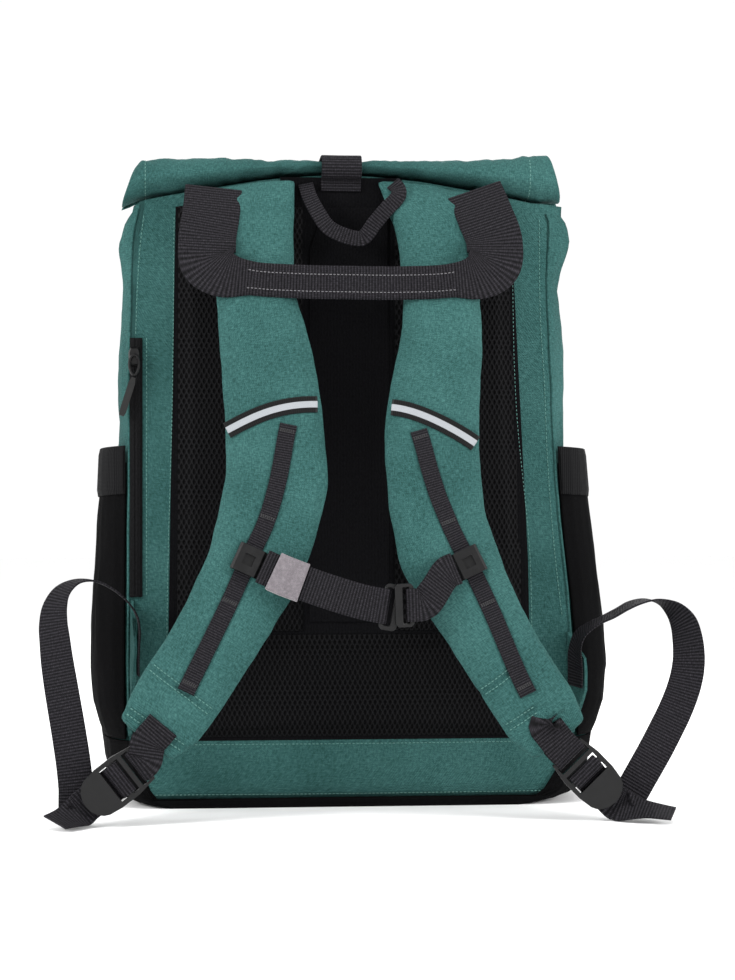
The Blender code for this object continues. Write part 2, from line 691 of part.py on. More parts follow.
def on_strap(name, x, z, lift):
    """Point over the strap's front at this x and z, with the strap's own directions there."""
    frames = SIDES[name]
    best = None
    for i, (centre, along, side, face, half) in enumerate(frames):
        dx = x - centre[0]
        dz = z - centre[2]
        flat = unit((along[0], 0.0, along[2]))
        off = abs(dx * flat[0] + dz * flat[2])
        if best is None or off < best[0]:
            best = (off, i, dx * side[0] + dz * side[2])
    centre, along, side, face, half = frames[best[1]]
    share = best[2] / half
    point = centre + side * best[2] + face * (STRAP_THICK / 2 * strap_face(share) + lift)
    return point, along, side, face


def strap_path(name, rows, lift, count):
    """A line laid over the strap's front through these points, with the strap's facing at each."""
    data = table(rows, (BODY_WIDTH, BODY_HEIGHT))
    flat = even(spline(data, 10), count, keep=2)
    line = []
    faces = []
    for x, z in flat:
        point, _, _, face = on_strap(name, x, z, lift)
        line.append(point)
        faces.append(face)
    return np.array(line), np.array(faces)


def laid(name, strap, rows, width, thick, lift, count, colour, rough=0.85):
    line, faces = strap_path(strap, rows, lift + thick / 2, count)
    along = tangents(line)
    across = np.cross(along, faces)
    ribbon(name, line, across, width, thick, colour, rough)
    return line, along, faces


def make_pad(name, corners, thick, columns, rows, colour, rough=0.9, out=GAP):
    """Padded panel on the flat back: corners bottom left, bottom right, top right, top left."""
    data = table(corners, (BODY_WIDTH, BODY_HEIGHT))
    low_l, low_r, top_r, top_l = data
    points = []
    us = 0.5 - 0.5 * np.cos(np.linspace(0.12, 0.88, columns) * math.pi)
    us = (us - us[0]) / (us[-1] - us[0])
    vs = np.linspace(0, 1, rows)
    vs = 0.5 * vs + 0.5 * (0.5 - 0.5 * np.cos(vs * math.pi))

    def at(u, v):
        return (low_l * (1 - u) + low_r * u) * (1 - v) + (top_l * (1 - u) + top_r * u) * v

    edge = 0.42
    for v in vs:
        for u in us:
            x, z = at(u, v)
            rise = (1 - abs(2 * u - 1) ** 5) * (1 - abs(2 * v - 1) ** 12)
            points.append((x, BACK - out - thick * (edge + (1 - edge) * rise), z))
    faces = []
    for r in range(rows - 1):
        for c in range(columns - 1):
            a = r * columns + c
            faces.append((a, a + 1, a + columns + 1, a + columns))
    border = [c for c in range(columns)]
    border += [r * columns + columns - 1 for r in range(1, rows)]
    border += [(rows - 1) * columns + c for c in range(columns - 2, -1, -1)]
    border += [r * columns for r in range(rows - 2, 0, -1)]
    start = len(points)
    for k in border:
        x, _, z = points[k]
        points.append((x, BACK - out, z))
    m = len(border)
    for k in range(m):
        j = (k + 1) % m
        faces.append((border[k], border[j], start + j, start + k))
    faces.append(tuple(start + k for k in range(m)))
    mesh_part(name, points, faces, colour, rough)


def pocket_point(i, z, grow):
    flat = section(z)
    low = int(math.floor(i))
    low = min(low, len(flat) - 2)
    share = i - low
    out = outward(flat)
    here = flat[low] * (1 - share) + flat[low + 1] * share
    facing = out[low] * (1 - share) + out[low + 1] * share
    here = here + facing / max(np.linalg.norm(facing), 1e-9) * grow
    return np.array((here[0], here[1], z))


def make_pocket(side, bulge, span):
    """Stretch pocket round one side of the sack, standing off it a little, open at the top."""
    if side == "left":
        start = 0.0
        sign = 1
    else:
        start = float(RIGHT_SEAM)
        sign = -1
    columns = 11
    zs = np.array([0.0, 0.04, 0.12, 0.25, 0.4, 0.55, 0.7, 0.85, 1.0])
    rings = []
    top_back = POCKET_TOP / 0.45 * BODY_HEIGHT

    def stand(u, v):
        across = math.sin(math.pi * min(max(u, 0.0), 1.0)) ** 0.7
        return bulge * across * min(1.0, v * 6.0) ** 0.8

    def lip(u):
        return top_back - POCKET_TOP_DROP * u

    def index(u):
        return start + sign * (0.35 + u * (span - 0.35))

    bottom = POCKET_BOTTOM / 0.45 * BODY_HEIGHT
    for v in zs:
        inner = []
        outer = []
        for u in np.linspace(0, 1, columns):
            z = bottom + (lip(u) - RIM_TALL * 0.35 - bottom) * v
            grow = GAP * 3 + stand(u, v)
            inner.append(pocket_point(index(u), z, grow))
            outer.append(pocket_point(index(u), z, grow + POCKET_WALL))
        rings.append(np.array(outer + inner[::-1]))
    loft("side_pocket_" + side, rings, BLACK, strip=True)
    rings = []
    for v in (0.0, 0.14, 0.86, 1.0):
        inner = []
        outer = []
        thick = RIM_THICK * (0.55 if v in (0.0, 1.0) else 1.0)
        for u in np.linspace(-0.02, 1.02, columns):
            z = lip(u) - RIM_TALL * (1 - v)
            grow = GAP * 4.2 + stand(u, 1.0) + POCKET_WALL
            inner.append(pocket_point(index(u), z, grow))
            outer.append(pocket_point(index(u), z, grow + thick))
        rings.append(np.array(outer + inner[::-1]))
    loft("pocket_rim_" + side, rings, BLACK, strip=True)


def frame_line(rows, extra=None):
    sizes = (BODY_WIDTH, BODY_HEIGHT, BODY_DEPTH)
    if extra:
        sizes = sizes + extra
    data = table(rows, sizes)
    line = np.stack([data[:, 0], BACK - data[:, 2], data[:, 1]] + [data[:, k] for k in range(3, data.shape[1])], axis=1)
    return line


def make_handle():
    """One length of wide webbing, flat where it is sewn on and folded in half along the grip."""
    line = even(spline(frame_line(HANDLE), 10), 29)
    along = tangents(line)
    grip = 0.235 * BODY_WIDTH
    rings = []
    for i, point in enumerate(line):
        end_in = min(i, len(line) - 1 - i) * 32 / (len(line) - 1)
        fold = min(max((end_in - 5.6) / 4.0, 0.0), 1.0)
        fold = fold * fold * (3 - 2 * fold)
        face = np.array((0.0, -1.0, 0.0))
        side = unit(np.cross(along[i], face))
        face = unit(np.cross(side, along[i]))
        if face[1] > 0:
            face = -face
        half = HANDLE_WIDTH / 2 * (1 - 0.47 * fold)
        thick = HANDLE_THICK * (1 + 1.1 * fold)
        soft = thick * 0.30
        rings.append(
            [
                point + side * half - face * thick / 2,
                point + side * (half + soft * fold) + face * 0,
                point + side * half + face * thick / 2,
                point + face * (thick / 2 + 0.0003 * fold),
                point - side * half + face * thick / 2,
                point - side * (half + soft * fold) + face * 0,
                point - side * half - face * thick / 2,
            ]
        )
    for ring in (rings[0], rings[-1]):
        for p in ring:
            p[2] = under_roll(p[0]) - 0.0013
    loft("carry_handle", rings, CHARCOAL, 0.8)


def make_loop():
    line = even(spline(frame_line(LOOP), 8), 21)
    along = tangents(line)
    across = np.cross(along, np.tile((0.0, -1.0, 0.0), (len(line), 1)))
    ribbon("hang_loop", line, across, LOOP_WIDTH, LOOP_THICK, CHARCOAL, 0.8)


def make_closure():
    """Strap that goes over the roll and down the front to its hook."""
    x = -0.0055 * BODY_WIDTH
    h = BODY_HEIGHT
    d = BODY_DEPTH
    roll = [
        (-0.5115 * d, 1.0235 * h),
        (-0.5165 * d, 1.0400 * h),
        (-0.5600 * d, 1.0462 * h),
        (-0.5760 * d, 1.0560 * h),
        (-0.5730 * d, 1.0720 * h),
        (-0.5400 * d, 1.0800 * h),
        (-0.4000 * d, 1.0812 * h),
        (-0.2750 * d, 1.0780 * h),
        (-0.2380 * d, 1.0620 * h),
        (-0.2330 * d, 1.0480 * h),
    ]
    line = [(x, y, z) for y, z in roll]
    for share in (0.985, 0.955, 0.92, 0.88, 0.83, 0.785, 0.745):
        line.append(front_point(x, share * h, 0.0030)[0])
    line = even(spline(np.array(line), 8), 34)
    across = np.tile((1.0, 0.0, 0.0), (len(line), 1))
    ribbon("closure_strap", line, across, CLOSURE_WIDTH, CLOSURE_THICK, CHARCOAL, 0.8)
    return line


def bar_box(name, centre, axes, sizes, colour, rough=0.5, metallic=0.0, bevel=0.0, home=None):
    axes = [unit(a) for a in axes]
    points = []
    for sx in (-0.5, 0.5):
        for sy in (-0.5, 0.5):
            for sz in (-0.5, 0.5):
                points.append(
                    np.asarray(centre) + axes[0] * sizes[0] * sx + axes[1] * sizes[1] * sy + axes[2] * sizes[2] * sz
                )
    faces = [(0, 1, 3, 2), (4, 6, 7, 5), (0, 4, 5, 1), (2, 3, 7, 6), (0, 2, 6, 4), (1, 5, 7, 3)]
    mesh = bpy.data.meshes.new(name)
    mesh.from_pydata([tuple(p) for p in points], [], faces)
    tidy(mesh)
    item = place(name, mesh, colour, rough, metallic, home)
    if bevel:
        soften(item, bevel)
    return item


def soften(item, width, segments=1):
    mod = item.modifiers.new("soft_edges", "BEVEL")
    mod.width = width
    mod.segments = segments
    mod.limit_method = "ANGLE"
    mod.angle_limit = math.radians(40)


def plate(name, outlines, thick, origin, axis_a, axis_b, colour, rough=0.5, metallic=0.0, bevel=0.0):
    """Flat plate from outlines given in the plane of axis_a and axis_b. Later outlines are holes."""
    data = bpy.data.curves.new(name + "_outline", "CURVE")
    data.dimensions = "2D"
    data.fill_mode = "BOTH"
    data.extrude = thick / 2
    for outline in outlines:
        line = data.splines.new("POLY")
        line.points.add(len(outline) - 1)
        for point, (a, b) in zip(line.points, outline):
            point.co = (a, b, 0.0, 1.0)
        line.use_cyclic_u = True
    helper = bpy.data.objects.new(name + "_outline", data)
    CUTTERS.objects.link(helper)
    graph = bpy.context.evaluated_depsgraph_get()
    mesh = bpy.data.meshes.new_from_object(helper.evaluated_get(graph))
    bpy.data.objects.remove(helper, do_unlink=True)
    a = unit(axis_a)
    b = unit(np.asarray(axis_b) - np.dot(axis_b, a) * a)
    n = np.cross(a, b)
    origin = np.asarray(origin, dtype=float)
    for vertex in mesh.vertices:
        p = np.array(vertex.co)
        vertex.co = tuple(origin + a * p[0] + b * p[1] + n * p[2])
    mesh.name = name
    tidy(mesh)
    item = place(name, mesh, colour, rough, metallic)
    if bevel:
        soften(item, bevel)
    return item


def rect(a0, a1, b0, b1, cut=0.0):
    if not cut:
        return [(a0, b0), (a1, b0), (a1, b1), (a0, b1)]
    return [
        (a0 + cut, b0), (a1 - cut, b0), (a1, b0 + cut), (a1, b1 - cut),
        (a1 - cut, b1), (a0 + cut, b1), (a0, b1 - cut), (a0, b0 + cut),
    ]


def make_lock(side):
    """Ladder lock at the end of a strap, its end tab, and the frame that the webbing follows."""
    strap = "shoulder_strap_" + side
    centre, along, across, face, half = SIDES[strap][-1]
    rows = LOCK_LEFT if side == "left" else LOCK_RIGHT
    data = frame_line(rows, (1.0, 1.0, 1.0))[0]
    origin = data[:3]
    axis = unit(data[3:])
    width = unit(np.cross(axis, (0.0, -1.0, 0.0)))
    if width[0] < 0:
        width = -width
    normal = unit(np.cross(axis, width))
    if normal[1] > 0:
        normal = -normal
    w = LOCK_WIDTH / 2
    length = LOCK_LENGTH / 0.050
    tab = []
    for k in range(9):
        angle = math.radians(-78 + 156 * k / 8)
        tab.append((0.0345 * length + 0.0125 * length * math.cos(angle), w * 0.93 * math.sin(angle)))
    outer = [(-0.0030, -w * 0.86), (0.012 * length, -w), (0.027 * length, -w)] + tab
    outer += [(0.027 * length, w), (0.012 * length, w), (-0.0030, w * 0.86)]
    slot = w - 0.0032
    holes = [
        rect(0.0012 * length, 0.0065 * length, -slot, slot),
        rect(0.0098 * length, 0.0152 * length, -slot, slot),
        rect(0.0192 * length, 0.0252 * length, -slot, slot),
    ]
    plate("ladder_lock_" + side, [outer] + holes, LOCK_THICK, origin, axis, width, PLASTIC, 0.45, bevel=0.0007)
    frame = (origin, axis, width, normal)
    # End tab: down the front of the strap, round the end bar and back under it.
    t = LOCK_THICK / 2
    away = GAP + 0.0009
    lift = STRAP_THICK / 2 + 0.0010

    def local(a, n):
        return origin + axis * a + normal * n

    front = centre - along * 0.017 + face * lift
    front_edge = centre - along * 0.001 + face * (lift - 0.0012)
    under = centre - along * 0.017 - face * lift
    under_edge = centre - along * 0.001 - face * (lift - 0.0012)
    tab_line = np.array(
        [
            front,
            (front + front_edge) / 2,
            front_edge,
            local(-0.0045, t + away + 0.0012),
            local(-0.0008, t + away),
            local(0.0018, t + away * 0.6),
            local(0.0034, 0.0),
            local(0.0018, -t - away * 0.6),
            local(-0.0008, -t - away),
            local(-0.0045, -t - away - 0.0030),
            under_edge,
            (under + under_edge) / 2,
            under,
        ]
    )
    tab_line = even(spline(tab_line, 6), 23)
    across_rows = np.tile(width, (len(tab_line), 1))
    ribbon("strap_end_tab_" + side, tab_line, across_rows, 0.0245, 0.0012, CHARCOAL, 0.8)
    return frame


def make_adjuster(side, rows, frame):
    origin, axis, width, normal = frame
    free = frame_line(rows, (1.0, 1.0, 1.0))
    tail = frame_line(TAIL_LEFT if side == "left" else TAIL_RIGHT, (1.0, 1.0, 1.0))
    k = LOCK_LENGTH / 0.050
    # Through the lock: in beneath, up a slot, over the grip bar, down, and out under the tab.
    inside = [
        (0.0490, -0.0068),
        (0.0430, -0.0060),
        (0.0300, -0.0057),
        (0.0175, -0.0054),
        (0.0134, -0.0046),
        (0.0124, -0.0020),
        (0.0124, 0.0012),
        (0.0138, 0.0034),
        (0.0172, 0.0040),
        (0.0206, 0.0034),
        (0.0220, 0.0012),
        (0.0220, -0.0012),
        (0.0236, -0.0031),
        (0.0285, -0.0036),
        (0.0400, -0.0037),
        (0.0480, -0.0038),
    ]
    base = width if width[0] > 0 else -width
    passes = np.array([np.hstack([origin + axis * a * k + normal * n, base]) for a, n in inside])
    tight = 5
    loose = even(spline(free, 8)[: 8 * (len(free) - tight) + 1], 18)
    bend = spline(np.vstack([free[-tight:], passes[:2]]), 2)[: 2 * tight + 1]
    line = np.vstack([loose[:-1], bend[:-1], passes, spline(tail, 2)])
    ribbon("adjuster_webbing_" + side, line[:, :3], line[:, 3:], ADJUSTER_WIDTH, ADJUSTER_THICK, CHARCOAL, 0.8)


def make_wing(side):
    """Cloth triangle sewn into the side seam, which carries the end of the adjuster webbing."""
    if side == "left":
        root = [(-157.6, 155.5), (-158.0, 106), (-158.2, 54)]
        tip = [(-154.2, 128), (-154.6, 104)]
    else:
        root = [(170.8, 130), (172.0, 92), (172.9, 52)]
        tip = [(178.3, 112), (179.3, 88)]
    scale_x = BODY_WIDTH / 320
    scale_z = BODY_HEIGHT / 450
    out = 0.1750 * BODY_DEPTH
    near = GAP
    thick = 0.0022
    outline = [
        (root[0][0] * scale_x, BACK - near, root[0][1] * scale_z),
        (tip[0][0] * scale_x, BACK - out, tip[0][1] * scale_z),
        (tip[1][0] * scale_x, BACK - out, tip[1][1] * scale_z),
        (root[2][0] * scale_x, BACK - near, root[2][1] * scale_z),
    ]
    outline = np.array(outline)
    normal = unit(np.cross(outline[1] - outline[0], outline[3] - outline[0]))
    if normal[0] < 0:
        normal = -normal
    rings = [outline - normal * thick / 2, outline + normal * thick / 2]
    loft("wing_" + side, rings, TEAL)


def make_slider(side, line, along, faces, at):
    """Plastic slider riding on the narrow webbing, with a bar that the chest strap loops round."""
    k = int(round(at * (len(line) - 1)))
    origin = line[k]
    face = faces[k]
    down = unit(along[k])
    across = unit(np.cross(down, face))
    if across[0] < 0:
        across = -across
    half = SLIDER_SIZE / 2
    low = -DAISY_THICK / 2 - 0.0002
    top = low + SLIDER_THICK
    chan = DAISY_WIDTH / 2 + 0.0009
    roof = DAISY_THICK / 2 + GAP + 0.0002
    profile = [
        (-half, low), (-chan, low), (-chan, roof), (chan, roof), (chan, low), (half, low),
        (half, top - 0.0018), (half - 0.0018, top), (-half + 0.0018, top), (-half, top - 0.0018),
    ]
    rings = []
    for s in (-half, half):
        rings.append([origin + across * a + face * n + down * s for a, n in profile])
    # Low lug towards the middle, which the chest strap is sewn round.
    inward = 1 if side == "left" else -1
    lug_top = low + LUG_THICK
    corner = [q for q, (a, n) in enumerate(profile) if abs(a - inward * half) < 1e-9 and abs(n - low) < 1e-9][0]
    reach = inward * (half + LUG_REACH)
    if inward > 0:
        profile = profile[:corner] + [(reach, low), (reach, lug_top), (half, lug_top)] + profile[corner + 1 :]
    else:
        profile = [(-half, lug_top), (reach, lug_top), (reach, low)] + profile[1:]
    rings = []
    for s in (-half, half):
        rings.append([origin + across * a + face * n + down * s for a, n in profile])
    item = loft("chest_slider_" + side, rings, PLASTIC, 0.45)
    hole = bar_box(
        "slider_hole_" + side,
        origin + face * (top),
        (across, down, face),
        (0.0078, 0.0078, 0.0044),
        PLASTIC,
        home=CUTTERS,
    )
    hole.hide_render = True
    hole.display_type = "WIRE"
    cut = item.modifiers.new("recess", "BOOLEAN")
    cut.operation = "DIFFERENCE"
    cut.solver = "EXACT"
    cut.object = hole
    return origin, across, down, face, top


def sleeve(name, line, across, wide, deep, wall, colour, rough=0.9):
    """Closed band round a strap, open at both ends."""
    along = tangents(line)
    rings = []
    for i, point in enumerate(line):
        side = unit(across[i] - np.dot(across[i], along[i]) * along[i])
        up = unit(np.cross(side, along[i]))
        for extra in (wall, 0.0):
            a = wide / 2 + extra
            b = deep / 2 + extra
            rings.append([point + side * p + up * q for p, q in ((-a, -b), (a, -b), (a, b), (-a, b))])
    points = [p for ring in rings for p in ring]
    faces = []
    count = len(line)
    for i in range(count - 1):
        for part in (0, 1):
            base = (2 * i + part) * 4
            nxt = base + 8
            for k in range(4):
                j = (k + 1) % 4
                faces.append((base + k, base + j, nxt + j, nxt + k))
    for i in (0, count - 1):
        base = 2 * i * 4
        for k in range(4):
            j = (k + 1) % 4
            faces.append((base + k, base + j, base + 4 + j, base + 4 + k))
    return mesh_part(name, points, faces, colour, rough)


def loop_round(name, line, faces, width, thick, bar, back_share, colour):
    """Webbing that runs along the line, round a bar at its end and back underneath."""
    along = tangents(line)
    steps = np.linalg.norm(np.diff(line, axis=0), axis=1)
    at = np.concatenate([[0.0], np.cumsum(steps)])
    rest = thick / 2 + GAP / 2 + 0.00005
    wide = bar / 2 + GAP + thick / 2 + 0.0005
    reach = 0.010
    top = []
    low = []
    ups = [unit(f - np.dot(f, a) * a) for f, a in zip(faces, along)]
    for i, point in enumerate(line):
        left = at[-1] - at[i]
        t = min(max(1 - left / reach, 0.0), 1.0)
        t = t * t * (3 - 2 * t)
        off = rest + (wide - rest) * t
        top.append(point + ups[i] * off)
        if at[i] >= at[-1] * (1 - back_share):
            low.append(point - ups[i] * off)
    turn = []
    for angle in (30, 60, 90, 120, 150):
        a = math.radians(angle)
        turn.append(line[-1] + ups[-1] * wide * math.cos(a) + along[-1] * wide * math.sin(a))
    path = np.array(top + turn + low[::-1])
    across = np.cross(along[-1], ups[-1])
    first = np.cross(along[0], ups[0])
    rows = []
    settle = [min(a / max(at[-1] - 0.012, 1e-6), 1.0) for a in at]
    shares = settle + [1.0] * len(turn) + settle[len(line) - len(low) :][::-1]
    for share in shares:
        rows.append(first * (1 - share) + across * share)
    return ribbon_by(name, path, rows, width, thick, colour)


def ribbon_by(name, path, across, width, thick, colour, rough=0.85):
    """Ribbon whose own width stays parallel to the rows in across."""
    ahead = np.zeros_like(path)
    ahead[1:-1] = path[2:] - path[:-2]
    ahead[0] = path[1] - path[0]
    ahead[-1] = path[-1] - path[-2]
    rings = []
    for i, point in enumerate(path):
        side = unit(across[i])
        t = unit(ahead[i] - np.dot(ahead[i], side) * side)
        up = np.cross(side, t)
        half = width / 2
        rings.append(
            [
                point - side * half - up * thick / 2,
                point + side * half - up * thick / 2,
                point + side * half + up * thick / 2,
                point - side * half + up * thick / 2,
            ]
        )
    return band(name, rings, colour, rough)


def make_chest(left_slider, right_slider):
    """Chest strap: left half with its felt keeper, the buckle and hook, and the short right half."""
    w = BODY_WIDTH
    h = BODY_HEIGHT
    d = BODY_DEPTH
    bar_l = np.array((0.0700 * w, BACK - 0.5450 * d, 0.3433 * h))
    hook_at = np.array((0.1315 * w, BACK - 0.5450 * d - BAR_THICK - 0.0002, 0.3450 * h))
    half = SLIDER_SIZE / 2
    lug = LUG_REACH
    origin, across, down, face, top = left_slider
    rise = -DAISY_THICK / 2 + 0.0002 + LUG_THICK + GAP + STERNUM_THICK + GAP
    start = origin + across * (half + 0.0007) + face * rise
    line = [
        start,
        start + unit(across * 1.0 + face * 0.10) * 0.010,
        np.array((-0.1450 * w, BACK - 0.5230 * d, 0.3895 * h)),
        np.array((-0.0480 * w, BACK - 0.5400 * d, 0.3650 * h)),
        np.array((0.0280 * w, BACK - 0.5450 * d, 0.3490 * h)),
        bar_l,
    ]
    fine = even(spline(np.array(line), 10), 21)
    faces = np.array([unit(face * (1 - t) + np.array((0.0, -1.0, 0.0)) * t) for t in np.linspace(0, 1, 21) ** 0.7])
    loop_round("sternum_strap_left", fine, faces, STERNUM_WIDTH, STERNUM_THICK, BAR_THICK, 0.93, CHARCOAL)
    along = tangents(fine)
    sides = np.cross(along, faces)
    keep = even(fine, 81)
    keep_sides = np.stack([np.interp(np.linspace(0, 1, 81), np.linspace(0, 1, 21), sides[:, k]) for k in range(3)], axis=1)
    a = 8
    b = a + 20
    deep = 2 * STERNUM_THICK + GAP * 4.5
    sleeve(
        "sternum_keeper", keep[a : b + 1 : 4], keep_sides[a : b + 1 : 4], STERNUM_WIDTH + 0.0010, deep, 0.0011, FELT
    )
    a_axis = along[-1]
    b_axis = np.cross(faces[-1], a_axis)
    tall = STERNUM_WIDTH / 2
    bar = BAR_THICK
    outer = rect(-bar / 2, 0.0116, -tall - 0.0042, tall + 0.0042, 0.0024)
    slot = rect(bar / 2, 0.0066, -tall - 0.0010, tall + 0.0010)
    plate("sternum_buckle", [outer, slot], bar, bar_l, a_axis, b_axis, PLASTIC, 0.45, bevel=0.0006)
    origin, across, down, face, top = right_slider
    start = origin - across * (half + 0.0007) + face * rise
    line = [
        start,
        start + unit(-across * 1.0 + face * 0.35) * 0.008,
        (start + hook_at) / 2 + np.array((0.0, -0.0030, -0.0030)),
        hook_at + np.array((0.0090, 0.0006, 0.0010)),
        hook_at,
    ]
    fine = even(spline(np.array(line), 10), 17)
    faces = np.array([unit(face * (1 - t) + np.array((0.0, -1.0, 0.0)) * t) for t in np.linspace(0, 1, 17) ** 0.7])
    loop_round("sternum_strap_right", fine, faces, STERNUM_WIDTH * 0.94, STERNUM_THICK, bar, 0.75, CHARCOAL)
    a_axis = -tangents(fine)[-1]
    b_axis = np.cross(faces[-1], a_axis)
    outer = rect(-0.0118, bar / 2, -tall - 0.0030, tall + 0.0030, 0.0022)
    slot = rect(-0.0064, -bar / 2, -tall - 0.0004, tall + 0.0004)
    plate("sternum_hook", [outer, slot], bar, hook_at, a_axis, b_axis, METAL, 0.3, 0.6, bevel=0.0006)


def front_point(x, z, lift):
    """Point on the middle of the front of the sack, moved out by lift."""
    middle = FRONT_MIDDLE
    step = 0.004
    here = section(z)[middle][1]
    above = section(min(z + step, BODY_HEIGHT))[middle][1]
    below = section(z - step)[middle][1]
    span = min(z + step, BODY_HEIGHT) - (z - step)
    slope = (above - below) / span
    out = unit((0.0, 1.0, -slope))
    return np.array((x, here, z + arch(x, z))) + out * lift, out


def make_front():
    """Webbing on the front that the closing strap's clasp holds on to, and the clasp itself."""
    x = -0.0055 * BODY_WIDTH
    line = []
    for share in np.linspace(0.705, 0.20, 12):
        point, _ = front_point(x, share * BODY_HEIGHT, GAP * 2 + CLOSURE_THICK / 2)
        line.append(point)
    across = np.tile((1.0, 0.0, 0.0), (len(line), 1))
    ribbon("closure_anchor", np.array(line), across, CLOSURE_WIDTH * 0.84, CLOSURE_THICK, CHARCOAL, 0.8)
    middle, out = front_point(x, 0.730 * BODY_HEIGHT, 0.0024 + CLOSURE_THICK / 2 + GAP * 2 + 0.0017)
    up = unit(np.cross(out, (1.0, 0.0, 0.0)))
    half = CLOSURE_WIDTH / 2 + 0.0025
    outer = rect(-half, half, -0.019, 0.019, 0.004)
    plate("closure_clasp", [outer], 0.0032, middle, (1.0, 0.0, 0.0), up, PLASTIC, 0.45, bevel=0.0008)


def make_zip():
    seam_z = np.array([157.5, 350.0]) * BODY_HEIGHT / 450
    x0 = -159.0 / 320 * BODY_WIDTH
    x1 = x0 + ZIP_WIDTH
    y = BACK - GAP
    points = []
    for depth in (y, y - ZIP_THICK):
        points += [(x0, depth, seam_z[0]), (x1, depth, seam_z[0]), (x1, depth, seam_z[1]), (x0, depth, seam_z[1] - 0.006)]
    faces = [(0, 1, 2, 3), (4, 7, 6, 5), (0, 4, 5, 1), (1, 5, 6, 2), (2, 6, 7, 3), (3, 7, 4, 0)]
    mesh_part("zip_tape", points, faces, BLACK, 0.75)
    xm = (x0 + x1) / 2 - 0.0012
    zs = 337.0 / 450 * BODY_HEIGHT
    front = y - ZIP_THICK - GAP
    slider = [
        (xm - 0.0040, zs - 0.0080), (xm + 0.0040, zs - 0.0080), (xm + 0.0045, zs + 0.002), (xm + 0.0030, zs + 0.0060),
        (xm - 0.0030, zs + 0.0060), (xm - 0.0045, zs + 0.002),
    ]
    low = [(x, front, z) for x, z in slider]
    high = [(x * 0.8 + xm * 0.2, front - 0.0024, z * 0.8 + zs * 0.2) for x, z in slider]
    loft("zip_slider", [low, high], PLASTIC, 0.4)
    # Pull ring: a flattened loop of wire that hangs from the slider.
    hang = np.array((xm, front - 0.0024 - GAP - RING_WIRE * 0.5 - 0.0002, zs - 0.0005))
    ring = []
    steps = 14
    for k in range(steps):
        angle = 2 * math.pi * k / steps
        a = 0.0036 * math.sin(angle) * (1.0 + 0.12 * math.cos(angle))
        b = -0.0070 + 0.0075 * math.cos(angle)
        ring.append(hang + np.array((a, 0.0, b)))
    sections = []
    for k in range(steps):
        ahead = unit(ring[(k + 1) % steps] - ring[k - 1])
        side = unit(np.cross(ahead, (0.0, 1.0, 0.0)))
        facing = np.array((0.0, 1.0, 0.0))
        sections.append(
            [
                ring[k] + (side * math.cos(t) + facing * math.sin(t)) * RING_WIRE / 2
                for t in np.linspace(0, 2 * math.pi, 7)[:-1]
            ]
        )
    points = [p for s in sections for p in s]
    faces = []
    for k in range(steps):
        nk = (k + 1) % steps
        for i in range(6):
            j = (i + 1) % 6
            faces.append((k * 6 + i, k * 6 + j, nk * 6 + j, nk * 6 + i))
    mesh_part("zip_pull_ring", points, faces, PLASTIC, 0.4)
    foot = hang + np.array((0.0, 0.0, -0.0145))
    tip = foot + np.array((-0.0095, 0.0, -0.0300))
    # Moulded tab: two flats either side of the ring foot would meet it, so it starts just below.
    direction = unit(tip - foot)
    begin = foot + direction * (RING_WIRE / 2 + GAP + 0.0003)
    line = np.array([begin, begin * 0.85 + tip * 0.15, begin * 0.1 + tip * 0.9, tip])
    across = np.tile(np.cross(direction, (0.0, 1.0, 0.0)), (4, 1))
    ribbon("zip_pull_cord", line, across, PULL_WIDTH, 0.0026, BLACK, 0.6, taper=[0.6, 1.0, 1.0, 0.7])


def main():
    make_sack()
    make_boot()
    make_roll()
    make_strap("shoulder_strap_left", STRAP_LEFT)
    make_strap("shoulder_strap_right", STRAP_RIGHT)
    make_pad("back_pad_left", PAD_LEFT, PAD_THICK, 7, 11, MESH)
    make_pad("back_pad_right", PAD_RIGHT, PAD_THICK, 7, 11, MESH)
    make_pad("lumbar_pad", PAD_LUMBAR, PAD_THICK, 11, 6, MESH)
    make_pad("spine_panel", PAD_SPINE, 0.0016, 5, 7, BLACK)
    make_pocket("left", POCKET_BULGE_LEFT, POCKET_SPAN_LEFT)
    make_pocket("right", POCKET_BULGE_RIGHT, POCKET_SPAN_RIGHT)
    laid("reflective_band_left", "shoulder_strap_left", BAND_LEFT, BAND_WIDTH, BAND_THICK, 0.0009, 15, SILVER, 0.4)
    laid("reflective_band_right", "shoulder_strap_right", BAND_RIGHT, BAND_WIDTH, BAND_THICK, 0.0009, 15, SILVER, 0.4)
    sliders = []
    for side, rows, at in (("left", DAISY_LEFT, SLIDER_LEFT_AT), ("right", DAISY_RIGHT, SLIDER_RIGHT_AT)):
        strap = "shoulder_strap_" + side
        got = laid("chest_webbing_" + side, strap, rows, DAISY_WIDTH, DAISY_THICK, GAP * 2, 17, CHARCOAL)
        sliders.append(make_slider(side, *got, at))
    make_chest(*sliders)
    make_handle()
    make_loop()
    make_closure()
    make_front()
    for side, rows in (("left", ADJUSTER_LEFT), ("right", ADJUSTER_RIGHT)):
        frame = make_lock(side)
        make_adjuster(side, rows, frame)
        make_wing(side)
    make_zip()


main()
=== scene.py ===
"""Looks of a roll-top backpack seen from its harness side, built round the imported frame.

Lengths are metres in the frame's own axes: X to the right, Y away from the camera, Z up.
"""

import math

import bmesh
import bpy
import numpy as np
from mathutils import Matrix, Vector, noise
from mathutils.bvhtree import BVHTree


